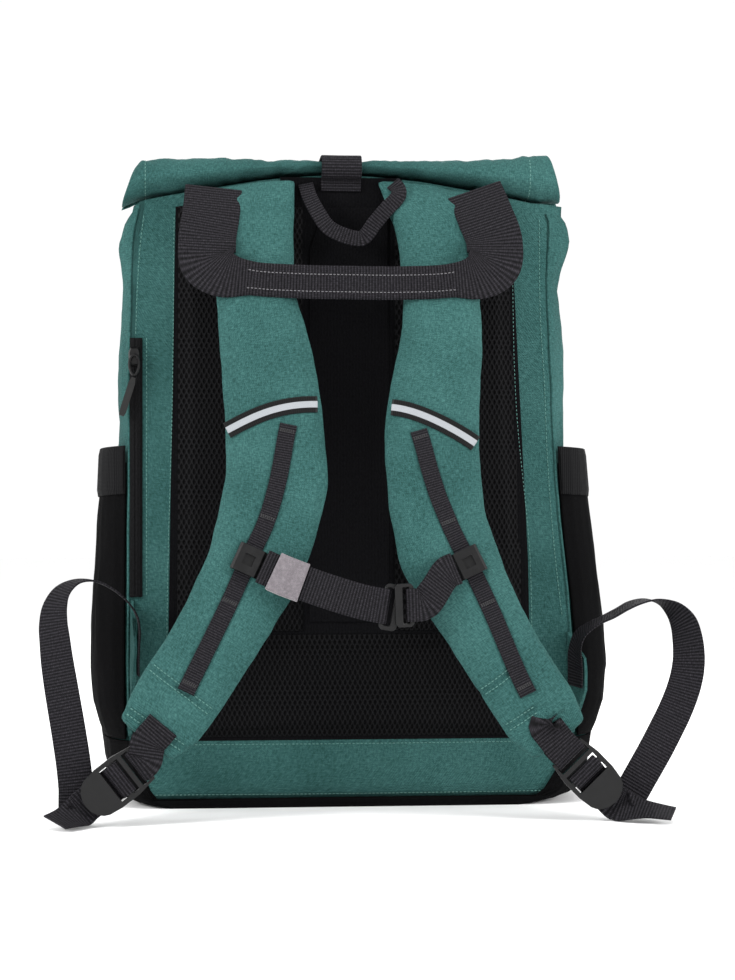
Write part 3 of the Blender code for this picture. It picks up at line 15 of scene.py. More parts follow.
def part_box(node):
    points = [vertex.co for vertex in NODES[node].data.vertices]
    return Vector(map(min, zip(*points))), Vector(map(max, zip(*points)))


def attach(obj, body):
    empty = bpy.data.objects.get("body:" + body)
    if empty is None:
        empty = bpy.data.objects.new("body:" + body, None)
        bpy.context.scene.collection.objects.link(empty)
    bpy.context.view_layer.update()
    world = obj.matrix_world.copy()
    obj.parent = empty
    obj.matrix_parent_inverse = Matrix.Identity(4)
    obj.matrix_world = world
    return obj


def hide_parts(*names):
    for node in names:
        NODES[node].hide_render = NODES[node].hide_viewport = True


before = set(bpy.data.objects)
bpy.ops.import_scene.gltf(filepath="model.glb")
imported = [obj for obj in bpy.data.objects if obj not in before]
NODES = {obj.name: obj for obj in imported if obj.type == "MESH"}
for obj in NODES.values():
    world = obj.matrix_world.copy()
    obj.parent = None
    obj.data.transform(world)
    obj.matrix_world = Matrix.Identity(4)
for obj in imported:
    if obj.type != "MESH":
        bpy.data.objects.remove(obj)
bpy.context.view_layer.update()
BODY = "bag"
BACK = -0.080
MM = 0.001

# Linear colours
TEAL = (0.027, 0.092, 0.086)
TEAL_LIGHT = (0.080, 0.200, 0.188)
TEAL_DARK = (0.005, 0.028, 0.026)
BLACK = (0.0024, 0.0024, 0.0026)
BLACK_LIGHT = (0.0075, 0.0075, 0.0082)
CHARCOAL = (0.015, 0.014, 0.017)
CHARCOAL_LIGHT = (0.052, 0.049, 0.056)
CHARCOAL_DARK = (0.003, 0.003, 0.0035)
FELT = (0.120, 0.104, 0.116)
THREAD_TEAL = (0.075, 0.235, 0.200)
THREAD_GREY = (0.15, 0.145, 0.155)
THREAD_BLACK = (0.018, 0.018, 0.020)

# Shader helpers
class Shader:
    """A material under construction, with short calls for the nodes that the finishes share."""

    def __init__(self, name, rough, specular=0.5):
        self.mat = bpy.data.materials.new(name)
        self.mat.use_nodes = True
        self.tree = self.mat.node_tree
        self.bsdf = self.tree.nodes["Principled BSDF"]
        self.bsdf.inputs["Roughness"].default_value = rough
        self.bsdf.inputs["Specular IOR Level"].default_value = specular

    def node(self, kind, **settings):
        made = self.tree.nodes.new(kind)
        for key, value in settings.items():
            setattr(made, key, value)
        return made

    def link(self, a, b):
        self.tree.links.new(a, b)

    def math(self, operation, a, b=None, c=None):
        made = self.node("ShaderNodeMath", operation=operation)
        for socket, value in zip(made.inputs, (a, b, c)):
            if value is None:
                continue
            if isinstance(value, (int, float)):
                socket.default_value = value
            else:
                self.link(value, socket)
        return made.outputs[0]

    def uv(self):
        """Cloth coordinates in metres: across and along."""
        source = self.node("ShaderNodeUVMap", uv_map="cloth")
        split = self.node("ShaderNodeSeparateXYZ")
        self.link(source.outputs[0], split.inputs[0])
        return split.outputs[0], split.outputs[1], source.outputs[0]

    def wave(self, coordinate, pitch, phase=0.0):
        """Sine of the coordinate with this pitch, from 0 to 1."""
        turned = self.math("MULTIPLY_ADD", coordinate, 2 * math.pi / pitch, phase)
        return self.math("MULTIPLY_ADD", self.math("SINE", turned), 0.5, 0.5)

    def noise(self, vector, scale, detail=3.0):
        made = self.node("ShaderNodeTexNoise")
        made.inputs["Scale"].default_value = scale
        made.inputs["Detail"].default_value = detail
        made.inputs["Roughness"].default_value = 0.6
        self.link(vector, made.inputs["Vector"])
        return made.outputs["Fac"]

    def place(self):
        """Position on the piece at rest, in metres."""
        return self.node("ShaderNodeTexCoord").outputs["Object"]

    def stretch(self, vector, scale):
        made = self.node("ShaderNodeMapping")
        made.inputs["Scale"].default_value = scale
        self.link(vector, made.inputs["Vector"])
        return made.outputs[0]

    def ramp(self, value, stops):
        made = self.node("ShaderNodeValToRGB")
        ramp = made.color_ramp
        while len(ramp.elements) < len(stops):
            ramp.elements.new(0.5)
        for element, (at, colour) in zip(ramp.elements, stops):
            element.position = at
            element.color = (*colour, 1.0)
        self.link(value, made.inputs[0])
        return made.outputs[0]

    def mix(self, share, a, b):
        made = self.node("ShaderNodeMix", data_type="RGBA")
        for index, value in ((0, share), (6, a), (7, b)):
            socket = made.inputs[index]
            if isinstance(value, (int, float)):
                socket.default_value = value
            elif isinstance(value, tuple):
                socket.default_value = (*value, 1.0)
            else:
                self.link(value, socket)
        return made.outputs[2]

    def colour(self, value):
        self.link(value, self.bsdf.inputs["Base Color"])

    def bump(self, height, distance):
        made = self.node("ShaderNodeBump")
        made.inputs["Distance"].default_value = distance
        made.inputs["Strength"].default_value = 1.0
        self.link(height, made.inputs["Height"])
        self.link(made.outputs[0], self.bsdf.inputs["Normal"])

    def sheen(self, weight, rough=0.5, tint=(1, 1, 1)):
        self.bsdf.inputs["Sheen Weight"].default_value = weight
        self.bsdf.inputs["Sheen Roughness"].default_value = rough
        self.bsdf.inputs["Sheen Tint"].default_value = (*tint, 1.0)


def woven(name, dark, mid, light, pitch, relief=0.00030, sheen=0.06, fade_and_shade=0.55, shine=0.12):
    """Plain weave of thick two-tone yarns, with cloudy patches that are partly faded cloth and partly painted
    shade.
    """
    s = Shader(name, 0.85, specular=shine)
    u, v, uv = s.uv()
    over = s.wave(u, pitch)
    under = s.wave(v, pitch * 0.86)
    apart = s.math("SUBTRACT", s.math("MULTIPLY", over, 2.0), s.math("MULTIPLY", under, 2.0))
    checker = s.math("ABSOLUTE", apart)
    yarn = s.noise(s.stretch(uv, (1 / pitch * 0.35, 1 / pitch * 1.3, 1)), 1.0, 2.0)
    cross = s.noise(s.stretch(uv, (1 / pitch * 1.3, 1 / pitch * 0.35, 1)), 1.0, 2.0)
    fleck = s.math("MULTIPLY_ADD", yarn, 0.5, s.math("MULTIPLY", cross, 0.5))
    tone = s.math("MULTIPLY_ADD", checker, 0.17, s.math("MULTIPLY_ADD", fleck, 1.5, -0.42))
    # Cloudy patches over the piece: partly faded cloth, partly painted shade.
    cloud = s.noise(s.place(), 14.0, 4.0)
    tone = s.math("MULTIPLY_ADD", s.math("SUBTRACT", cloud, 0.5), fade_and_shade, tone)
    s.colour(s.ramp(tone, ((0.08, dark), (0.48, mid), (0.98, light))))
    s.bump(s.math("MULTIPLY_ADD", checker, 0.5, s.math("MULTIPLY", fleck, 0.8)), relief)
    s.sheen(sheen, 0.4, light)
    return s.mat


def webbing_finish(name, dark, mid, light, rib=0.0022):
    """Ribbed narrow webbing: raised cross ribs, fine warp ends and flecked yarn."""
    s = Shader(name, 0.75, specular=0.08)
    u, v, uv = s.uv()
    ribs = s.wave(v, rib)
    ends = s.wave(u, 0.0013)
    fleck = s.noise(s.stretch(uv, (900, 420, 1)), 1.0, 2.0)
    body = s.math("MULTIPLY", ribs, s.math("MULTIPLY_ADD", ends, 0.45, 0.55))
    tone = s.math("MULTIPLY_ADD", body, 0.55, s.math("MULTIPLY_ADD", fleck, 0.9, -0.30))
    s.colour(s.ramp(tone, ((0.10, dark), (0.52, mid), (1.0, light))))
    s.bump(s.math("MULTIPLY_ADD", body, 1.0, s.math("MULTIPLY", fleck, 0.35)), 0.00045)
    s.sheen(0.04, 0.4, light)
    return s.mat


def spacer_mesh(name):
    """Black open-faced knit: rows of small pits in a staggered grid."""
    s = Shader(name, 0.75, specular=0.03)
    u, v, uv = s.uv()
    pitch = 0.0034
    row = s.wave(v, pitch)
    a = s.wave(s.math("ADD", u, s.math("MULTIPLY", v, 0.5)), pitch * 1.1)
    b = s.wave(s.math("SUBTRACT", u, s.math("MULTIPLY", v, 0.5)), pitch * 1.1)
    pits = s.math("MULTIPLY", s.math("MULTIPLY", a, b), s.math("MULTIPLY_ADD", row, 0.5, 0.5))
    fleck = s.noise(s.stretch(uv, (1500, 1500, 1)), 1.0, 2.0)
    tone = s.math("MULTIPLY_ADD", fleck, 0.35, s.math("SUBTRACT", 0.75, pits))
    s.colour(s.ramp(tone, ((0.1, (0.0015, 0.0015, 0.0016)), (0.8, BLACK), (1.0, (0.012, 0.012, 0.013)))))
    s.bump(s.math("SUBTRACT", 1.0, pits), 0.0011)
    s.sheen(0.01, 0.4)
    return s.mat


def smooth_knit(name, dark, light, relief=0.00012):
    """Close black knit with faint vertical wales."""
    s = Shader(name, 0.80, specular=0.02)
    u, v, uv = s.uv()
    wale = s.wave(u, 0.0011)
    fleck = s.noise(s.stretch(uv, (1300, 500, 1)), 1.0, 2.0)
    s.colour(s.ramp(s.math("MULTIPLY_ADD", wale, 0.3, fleck), ((0.3, dark), (1.1, light))))
    s.bump(s.math("ADD", wale, fleck), relief)
    s.sheen(0.01, 0.4)
    return s.mat


def elastic_band(name):
    s = Shader(name, 0.70, specular=0.05)
    u, v, uv = s.uv()
    ribs = s.wave(u, 0.0016)
    courses = s.wave(v, 0.0030)
    fleck = s.noise(s.stretch(uv, (900, 900, 1)), 1.0, 2.0)
    body = s.math("MULTIPLY", ribs, s.math("MULTIPLY_ADD", courses, 0.3, 0.7))
    s.colour(s.ramp(s.math("MULTIPLY_ADD", fleck, 0.5, body), ((0.1, BLACK), (1.2, BLACK_LIGHT))))
    s.bump(body, 0.0004)
    s.sheen(0.01, 0.4)
    return s.mat


def felt(name):
    s = Shader(name, 0.95, specular=0.2)
    fine = s.noise(s.place(), 2600, 3.0)
    soft = s.noise(s.place(), 420, 3.0)
    tone = s.math("MULTIPLY_ADD", fine, 0.6, s.math("MULTIPLY", soft, 0.5))
    s.colour(s.ramp(tone, ((0.25, (0.050, 0.043, 0.050)), (0.55, FELT), (0.85, (0.235, 0.215, 0.230)))))
    s.bump(tone, 0.0007)
    s.sheen(0.5, 0.6)
    return s.mat


def moulded(name, colour, rough=0.36, grain=0.00006):
    """Moulded plastic with a fine spark grain and rubbed, shinier patches."""
    s = Shader(name, rough, specular=0.28)
    fine = s.noise(s.place(), 3800, 2.0)
    rub = s.noise(s.place(), 160, 4.0)
    tone = s.math("MULTIPLY_ADD", fine, 0.3, s.math("MULTIPLY", rub, 0.7))
    lighter = tuple(c * 2.0 + 0.002 for c in colour)
    s.colour(s.ramp(tone, ((0.3, colour), (0.8, lighter))))
    s.link(s.math("MULTIPLY_ADD", rub, 0.30, rough - 0.14), s.bsdf.inputs["Roughness"])
    s.bump(fine, grain)
    return s.mat


def reflective(name, half):
    """Silver strip with fine glass-bead sparkle between two rolls of black piping."""
    s = Shader(name, 0.42, specular=0.15)
    u, v, uv = s.uv()
    off = s.math("DIVIDE", s.math("ABSOLUTE", u), half)
    bead = s.noise(s.stretch(uv, (5200, 5200, 1)), 1.0, 2.0)
    edge = s.math("GREATER_THAN", off, 0.50)
    silver = s.ramp(bead, ((0.3, (0.19, 0.20, 0.215)), (0.8, (0.42, 0.44, 0.46))))
    black = s.ramp(s.wave(v, 0.0016), ((0.0, (0.001, 0.001, 0.001)), (1.0, (0.007, 0.007, 0.0075))))
    s.colour(s.mix(edge, silver, black))
    s.bump(s.math("MULTIPLY_ADD", edge, 0.6, s.math("MULTIPLY", bead, 0.2)), 0.0004)
    return s.mat


def thread(name, colour):
    s = Shader(name, 0.6)
    twist = s.noise(s.place(), 2400, 1.0)
    darker = tuple(c * 0.55 for c in colour)
    s.colour(s.ramp(twist, ((0.35, darker), (0.65, colour))))
    s.sheen(0.2)
    return s.mat


CLOTH = woven("teal cloth", TEAL_DARK, TEAL, TEAL_LIGHT, 0.00125)
PLAIN_BLACK = woven(
    "black cloth", (0.0025, 0.0025, 0.0027), BLACK, BLACK_LIGHT, 0.0011, relief=0.00016,
    sheen=0.0, fade_and_shade=0.3, shine=0.03,
)
WEB = webbing_finish("charcoal webbing", CHARCOAL_DARK, CHARCOAL, CHARCOAL_LIGHT)
WEB_DARK = webbing_finish(
    "dark webbing", (0.004, 0.004, 0.005), (0.016, 0.015, 0.018), (0.050, 0.047, 0.054), 0.0018
)
MESH = spacer_mesh("spacer mesh")
KNIT = smooth_knit("black knit", (0.0012, 0.0012, 0.0014), (0.0075, 0.0075, 0.0085))
ELASTIC = elastic_band("elastic")
FELTED = felt("grey felt")
PLASTIC = moulded("black plastic", (0.0020, 0.0020, 0.0022))
RUBBER = moulded("moulded tab", (0.006, 0.006, 0.006), 0.55, 0.00010)
SILVER = reflective("reflective strip", 0.00475)
TEAL_THREAD = thread("pale thread", THREAD_TEAL)
GREY_THREAD = thread("grey thread", THREAD_GREY)
BLACK_THREAD = thread("black thread", THREAD_BLACK)


# Small geometry helpers
def unit(v):
    v = np.asarray(v, float)
    return v / max(np.linalg.norm(v), 1e-12)


def tangents(line):
    ahead = np.gradient(np.asarray(line, float), axis=0)
    return ahead / np.maximum(np.linalg.norm(ahead, axis=1, keepdims=True), 1e-12)


def length_along(line):
    steps = np.linalg.norm(np.diff(line, axis=0), axis=1)
    return np.concatenate([[0.0], np.cumsum(steps)])


def spaced(line, count):
    """This many points along a line, evenly spaced."""
    at = length_along(line)
    places = np.linspace(0, at[-1], count)
    return np.array([[np.interp(s, at, line[:, i]) for i in range(3)] for s in places])


def smooth_rows(rows, count, lengths=None):
    """A smooth curve through the rows, which hold any numbers, at this many even places."""
    rows = np.asarray(rows, float)
    flat = rows.reshape(len(rows), -1)
    if lengths is None:
        middle = rows.reshape(len(rows), -1, rows.shape[-1]).mean(1)[:, :3]
        lengths = length_along(middle)
    slope = np.gradient(flat, lengths, axis=0)
    at = np.linspace(0, lengths[-1], count)
    k = np.clip(np.searchsorted(lengths, at, side="right") - 1, 0, len(lengths) - 2)
    span = (lengths[k + 1] - lengths[k])[:, None]
    u = (at[:, None] - lengths[k][:, None]) / span
    made = (2 * u**3 - 3 * u**2 + 1) * flat[k] + (u**3 - 2 * u**2 + u) * span * slope[k]
    made += (-2 * u**3 + 3 * u**2) * flat[k + 1] + (u**3 - u**2) * span * slope[k + 1]
    return made.reshape((count,) + rows.shape[1:])


def fbm(point, scale, octaves=3):
    """Smooth noise about 0, from the point's place alone."""
    return noise.fractal(Vector(point) * scale, 1.0, 2.0, octaves)


def smoothstep(value, low, high):
    t = np.clip((value - low) / (high - low), 0, 1)
    return t * t * (3 - 2 * t)


def make_piece(name, points, faces, finish, uv=None, slot=None, stands_for=(), smooth=True, body=BODY):
    """A mesh piece in the frame, which rides on its body. uv holds one pair per point."""
    mesh = bpy.data.meshes.new(name)
    mesh.from_pydata([tuple(map(float, p)) for p in points], [], [tuple(map(int, f)) for f in faces])
    item = bpy.data.objects.new(name, mesh)
    bpy.context.scene.collection.objects.link(item)
    mesh.materials.append(finish)
    mesh.validate()
    if smooth:
        mesh.polygons.foreach_set("use_smooth", [True] * len(mesh.polygons))
    if uv is not None:
        set_uv(item, np.asarray(uv, float))
    else:
        box_uv(item)
    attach(item, body)
    if stands_for:
        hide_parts(*stands_for)
    return item


def set_uv(item, pairs):
    mesh = item.data
    layer = mesh.uv_layers.get("cloth") or mesh.uv_layers.new(name="cloth")
    index = np.zeros(len(mesh.loops), int)
    mesh.loops.foreach_get("vertex_index", index)
    layer.data.foreach_set("uv", pairs[index].astype(np.float32).ravel())


def box_uv(item):
    """Cloth coordinates from the two axes that each face lies along most."""
    mesh = item.data
    layer = mesh.uv_layers.get("cloth") or mesh.uv_layers.new(name="cloth")
    for face in mesh.polygons:
        n = [abs(c) for c in face.normal]
        a, b = ((1, 2), (0, 2), (0, 1))[n.index(max(n))]
        for loop in face.loop_indices:
            co = mesh.vertices[mesh.loops[loop].vertex_index].co
            layer.data[loop].uv = (co[a], co[b])


def read_vectors(mesh, field):
    flat = np.zeros(len(mesh.vertices) * 3)
    mesh.vertices.foreach_get(field, flat)
    return flat.reshape(-1, 3)


def points_of(item):
    return read_vectors(item.data, "co")


def put_points(item, points):
    item.data.vertices.foreach_set("co", np.asarray(points, np.float32).ravel())
    item.data.update()


def normals_of(item):
    return read_vectors(item.data, "normal")


def tree_of(item):
    mesh = item.data
    return BVHTree.FromPolygons([v.co for v in mesh.vertices], [p.vertices for p in mesh.polygons])


def welded(name):
    bm = bmesh.new()
    bm.from_mesh(NODES[name].data)
    bmesh.ops.remove_doubles(bm, verts=bm.verts, dist=1e-6)
    bmesh.ops.recalc_face_normals(bm, faces=bm.faces)
    bm.verts.index_update()
    return bm


# Lofted nodes: their rings of points, walked from one end
def cap_at(bm, near, spread):
    start = min(bm.verts, key=lambda v: (v.co - Vector(near)).length)
    close = [v.co for v in bm.verts if (v.co - start.co).length < 0.05]
    away = start.co - sum(close, Vector()) / len(close)
    first = max(start.link_faces, key=lambda f: f.normal.dot(away))
    cap = {first}
    queue = [first]
    while queue:
        for edge in queue.pop().edges:
            for face in edge.link_faces:
                if face not in cap and face.normal.dot(first.normal) > spread:
                    cap.add(face)
                    queue.append(face)
    return cap


def loop_order(edges):
    """Vertices of a closed loop in order, from the one with the lowest index."""
    beside = {}
    for a, b in edges:
        beside.setdefault(a, []).append(b)
        beside.setdefault(b, []).append(a)
    start = min(beside, key=lambda v: v.index)
    order = [start]
    before = None
    here = start
    while True:
        ahead = sorted((v for v in beside[here] if v != before), key=lambda v: v.index)
        if not ahead or ahead[0] == start or len(order) > len(beside):
            break
        before = here
        here = ahead[0]
        order.append(here)
    return order


def rings_of(name, near, spread=0.7):
    """Ordered rings of a lofted node as an array: ring, corner, axis."""
    bm = welded(name)
    cap = cap_at(bm, near, spread)
    border = [
        (e.verts[0], e.verts[1]) for f in cap for e in f.edges if sum(x in cap for x in e.link_faces) == 1
    ]
    ring = loop_order(border)
    size = len(ring)
    seen = set(ring) | {v for f in cap for v in f.verts}
    rings = [np.array([v.co for v in ring])]
    level = ring
    while True:
        ahead = {e.other_vert(v) for v in level for e in v.link_edges} - seen
        if len(ahead) != size:
            break
        seen |= ahead
        inside = {tuple(e.verts) for v in ahead for e in v.link_edges if e.other_vert(v) in ahead}
        beside = {}
        for a, b in inside:
            beside.setdefault(a, set()).add(b)
            beside.setdefault(b, set()).add(a)
        if any(len(x) != 2 for x in beside.values()):
            # Only the far end has edges across its ring. There the edges beside the last wall count.
            if set(bm.verts) - seen:
                break
            inside = {
                (e.verts[0], e.verts[1])
                for a, b in inside
                for e in a.link_edges
                if e.other_vert(a) == b and any(x not in ahead for f in e.link_faces for x in f.verts)
            }
        level = loop_order(inside)
        if len(level) != size:
            break
        here = np.array([v.co for v in level])
        best = None
        for turned in (here, here[::-1]):
            for shift in range(size):
                rolled = np.roll(turned, shift, axis=0)
                cost = np.linalg.norm(rolled - rings[-1], axis=1).sum()
                if best is None or cost < best[0]:
                    best = (cost, rolled)
        rings.append(best[1])
    bm.free()
    return np.array(rings)


def grid_faces(stations, around):
    faces = []
    for r in range(stations - 1):
        for c in range(around):
            d = (c + 1) % around
            faces.append((r * around + c, r * around + d, (r + 1) * around + d, (r + 1) * around + c))
    return faces


def grid_piece(name, rings, finish, uv, **more):
    """Closed surface over a grid of rings, with fans over both ends."""
    stations, around = rings.shape[:2]
    points = list(rings.reshape(-1, 3))
    faces = grid_faces(stations, around)
    pairs = list(np.asarray(uv).reshape(-1, 2))
    for r, flip in ((0, True), (stations - 1, False)):
        points.append(rings[r].mean(0))
        pairs.append(np.mean(pairs[r * around : (r + 1) * around], axis=0))
        hub = len(points) - 1
        for c in range(around):
            d = (c + 1) % around
            face = (r * around + c, r * around + d, hub)
            faces.append(face[::-1] if flip else face)
    item = make_piece(name, points, faces, finish, uv=pairs, **more)
    outward(item)
    return item


def outward(item):
    bm = bmesh.new()
    bm.from_mesh(item.data)
    bmesh.ops.recalc_face_normals(bm, faces=bm.faces)
    bm.to_mesh(item.data)
    bm.free()


# Woven bands: length between rings, and section as shares of half width and half thickness
WEB_STEP = 0.0016
BAND_SECTION = (
    (-1.0, 0.0), (-0.985, 0.62), (-0.945, 0.95), (-0.86, 1.0), (-0.45, 0.88), (0.0, 0.84), (0.45, 0.88),
    (0.86, 1.0), (0.945, 0.95), (0.985, 0.62), (1.0, 0.0),
)


def levels_of(name, near, spread=0.7):
    """Rings of a ribbon node, each with its points by index."""
    bm = welded(name)
    level = {v for f in cap_at(bm, near, spread) for v in f.verts}
    seen = set(level)
    found = []
    while level:
        found.append(np.array([v.co for v in sorted(level, key=lambda v: v.index)]))
        level = {e.other_vert(v) for v in level for e in v.link_edges} - seen
        seen |= level
    bm.free()
    return found


def band_frames(name, near, spread=0.7):
    """Centre, width direction, half width and half thickness along a ribbon node."""
    rings = levels_of(name, near, spread)
    centres = np.array([ring.mean(0) for ring in rings])
    along = tangents(centres)
    sides = []
    widths = []
    thick = []
    for ring, centre, ahead in zip(rings, centres, along):
        spread_out = np.linalg.svd(ring - centre)[2][0]
        if sides and np.dot(spread_out, sides[-1]) < 0:
            spread_out = -spread_out
        up = unit(np.cross(spread_out, ahead))
        sides.append(spread_out)
        widths.append(np.abs((ring - centre) @ spread_out).max())
        thick.append(np.abs((ring - centre) @ up).max())
    return np.column_stack([centres, np.array(sides), widths, thick])


BANDS = {}


def webbing(name, node, near, finish, slot, fair=0):
    """Webbing laid along a ribbon node, kept in BANDS. fair is the degree of a curve to lay it on."""
    rows = band_frames(node, near)
    if len(rows) < 3:
        return soft_copy(name, node, finish, slot)
    total = length_along(rows[:, :3])[-1]
    rows = smooth_rows(rows, max(int(total / WEB_STEP), 8), length_along(rows[:, :3]))
    if fair:
        run = np.linspace(-1, 1, len(rows))
        for k in range(8):
            degree = fair if k < 3 else (2 if k < 6 else 0)
            rows[:, k] = np.polyval(np.polyfit(run, rows[:, k], degree), run)
    line = rows[:, :3]
    along = tangents(line)
    sides = rows[:, 3:6] - (rows[:, 3:6] * along).sum(1, keepdims=True) * along
    sides /= np.linalg.norm(sides, axis=1, keepdims=True)
    ups = np.cross(sides, along)
    section = list(BAND_SECTION) + [(u, -v) for u, v in BAND_SECTION[1:-1][::-1]]
    at = length_along(line)
    rings = []
    uv = []
    for i in range(len(rows)):
        half = rows[i, 6]
        deep = rows[i, 7]
        rings.append([line[i] + sides[i] * half * u + ups[i] * deep * v for u, v in section])
        uv.append([(half * u, at[i]) for u, v in section])
    piece = grid_piece(name, np.array(rings), finish, uv, slot=slot, stands_for=[node])
    BANDS[name] = (line, sides, ups, rows[:, 6], rows[:, 7])
    return piece


def soft_copy(name, node, finish, slot, levels=1, bevel=0.0, shape=None):
    """A cloth piece made from a node's own surface, cut finer, then shaped by a function of place."""
    bm = welded(node)
    bmesh.ops.dissolve_limit(bm, angle_limit=math.radians(0.6), verts=bm.verts, edges=bm.edges)
    if bevel:
        sharp = [e for e in bm.edges if len(e.link_faces) == 2 and e.calc_face_angle(0) > math.radians(40)]
        bmesh.ops.bevel(
            bm, geom=sharp, offset=bevel, segments=2, profile=0.6, affect="EDGES", clamp_overlap=True
        )
    bmesh.ops.triangulate(bm, faces=[f for f in bm.faces if len(f.verts) > 4])
    for _ in range(levels):
        bmesh.ops.subdivide_edges(bm, edges=bm.edges, cuts=1, use_grid_fill=True, smooth=0.0)
    bmesh.ops.triangulate(bm, faces=[f for f in bm.faces if len(f.verts) > 4])
    points = np.array([v.co for v in bm.verts])
    faces = [[v.index for v in f.verts] for f in bm.faces]
    bm.free()
    item = make_piece(name, points, faces, finish, slot=slot, stands_for=[node])
    if shape is not None:
        put_points(item, shape(points_of(item), normals_of(item)))
    return item


def flat_uv(item, along):
    """Cloth coordinates from a flat direction across the picture, (x, z)."""
    a = unit(along)
    points = points_of(item)[:, (0, 2)]
    set_uv(item, np.column_stack([points @ np.array((-a[1], a[0])), points @ a]))


def puff(item, cap, pressure, frames=20, stiff=12.0, limit=None):
    """Lets cloth simulation swell a closed piece, then caps how far any point has moved."""
    before = points_of(item)
    layer = item.modifiers.new("swell", "CLOTH")
    settings = layer.settings
    settings.quality = 6
    settings.mass = 0.25
    settings.tension_stiffness = stiff
    settings.compression_stiffness = stiff
    settings.shear_stiffness = stiff * 0.6
    settings.bending_stiffness = 1.5
    settings.use_pressure = True
    settings.uniform_pressure_force = pressure
    settings.effector_weights.gravity = 0.0
    layer.collision_settings.use_collision = False
    layer.point_cache.frame_start = 1
    layer.point_cache.frame_end = frames
    scene = bpy.context.scene
    for step in range(1, frames + 1):
        scene.frame_set(step)
    graph = bpy.context.evaluated_depsgraph_get()
    swollen = item.evaluated_get(graph).to_mesh()
    after = read_vectors(swollen, "co")
    item.evaluated_get(graph).to_mesh_clear()
    item.modifiers.remove(layer)
    scene.frame_set(1)
    move = after - before
    far = np.linalg.norm(move, axis=1, keepdims=True)
    move *= np.minimum(far, cap) / np.maximum(far, 1e-9)
    if limit is not None:
        move *= limit(before)[:, None]
    put_points(item, before + move)


def bake(item, layer):
    """Turns a modifier into the piece's own mesh."""
    graph = bpy.context.evaluated_depsgraph_get()
    mesh = bpy.data.meshes.new_from_object(item.evaluated_get(graph))
    item.modifiers.remove(layer)
    old = item.data
    item.data = mesh
    bpy.data.meshes.remove(old)
    return mesh


def remeshed(name, node, finish, slot, voxel):
    """A closed even-meshed copy of a padded node, ready to be swollen."""
    item = soft_copy(name, node, finish, slot)
    layer = item.modifiers.new("even", "REMESH")
    layer.mode = "VOXEL"
    layer.voxel_size = voxel
    layer.use_smooth_shade = True
    mesh = bake(item, layer)
    mesh.name = name
    mesh.materials.clear()
    mesh.materials.append(finish)
    return item


def subdivide(item):
    layer = item.modifiers.new("finer", "SUBSURF")
    layer.levels = 1
    layer.render_levels = 1
    mesh = bake(item, layer)
    mesh.polygons.foreach_set("use_smooth", [True] * len(mesh.polygons))


# Sewing
def bar_mesh(points, faces, a, b, up, radius):
    """Adds one short rounded thread from a to b."""
    ahead = unit(b - a)
    side = unit(np.cross(ahead, up))
    top = unit(np.cross(side, ahead))
    base = len(points)
    shape = ((0.0, 0.35), (0.22, 0.95), (0.78, 0.95), (1.0, 0.35))
    for t, swell in shape:
        centre = a * (1 - t) + b * t
        for angle in (0.0, 1.2566, 2.5133, 3.7699, 5.0265):
            points.append(centre + (side * math.cos(angle) + top * math.sin(angle)) * radius * swell)
    for r in range(3):
        for c in range(5):
            d = (c + 1) % 5
            faces.append((base + r * 5 + c, base + r * 5 + d, base + (r + 1) * 5 + d, base + (r + 1) * 5 + c))
    faces.append(tuple(base + c for c in range(4, -1, -1)))
    faces.append(tuple(base + 15 + c for c in range(5)))


def stitches(name, runs, finish, slot, pitch=0.0030, share=0.66, radius=0.00034):
    """Lines of thread. Each run is (line, facings); all runs become one piece."""
    points = []
    faces = []
    for line, ups in runs:
        line = np.asarray(line, float)
        ups = np.asarray(ups, float)
        at = length_along(line)
        count = max(int(at[-1] / pitch), 1)
        for k in range(count):
            ends = []
            for s in (k * at[-1] / count, (k + share) * at[-1] / count):
                ends.append(np.array([np.interp(s, at, line[:, i]) for i in range(3)]))
            up = unit([np.interp(k * at[-1] / count, at, ups[:, i]) for i in range(3)])
            lift = up * radius * 0.25
            bar_mesh(points, faces, ends[0] + lift, ends[1] + lift, up, radius)
    return make_piece(name, points, faces, finish, slot=slot)


def tube(name, line, radius, finish, slot, sides=8):
    """Round piping along a line."""
    line = np.asarray(line, float)
    along = tangents(line)
    at = length_along(line)
    rings = []
    uv = []
    side = unit(np.cross(along[0], (0.0, 1.0, 0.2)))
    for i in range(len(line)):
        side = unit(side - np.dot(side, along[i]) * along[i])
        up = np.cross(along[i], side)
        ring = []
        pairs = []
        for k in range(sides):
            angle = 2 * math.pi * k / sides
            ring.append(line[i] + (side * math.cos(angle) + up * math.sin(angle)) * radius)
            pairs.append((radius * angle, at[i]))
        rings.append(ring)
        uv.append(pairs)
    return grid_piece(name, np.array(rings), finish, uv, slot=slot)


def on_back(tree, x, z, lift=0.0):
    """Where a line of sight along Y first meets the surface, raised by lift, and its facing."""
    hit, normal, _, _ = tree.ray_cast(Vector((x, -0.4, z)), Vector((0, 1, 0)))
    if hit is None:
        return None
    if normal.y > 0:
        normal = -normal
    return np.array(hit) + np.array(normal) * lift, np.array(normal)


def run_of(found):
    """A run, as a line and its facings, from what on_back found."""
    found = [f for f in found if f is not None]
    return np.array([f[0] for f in found]), np.array([f[1] for f in found])


def run_on(tree, rows, lift=0.0, step=0.003):
    """A run over a surface through points given as (x, z) in millimetres."""
    flat = np.array(rows, float) * MM
    flat = np.column_stack([flat[:, 0], np.zeros(len(flat)), flat[:, 1]])
    total = length_along(flat)[-1]
    count = max(int(total / step), 4)
    if len(flat) > 2:
        flat = smooth_rows(flat, count, length_along(flat))
    else:
        flat = np.linspace(flat[0], flat[1], count)
    return run_of([on_back(tree, p[0], p[2], lift) for p in flat])


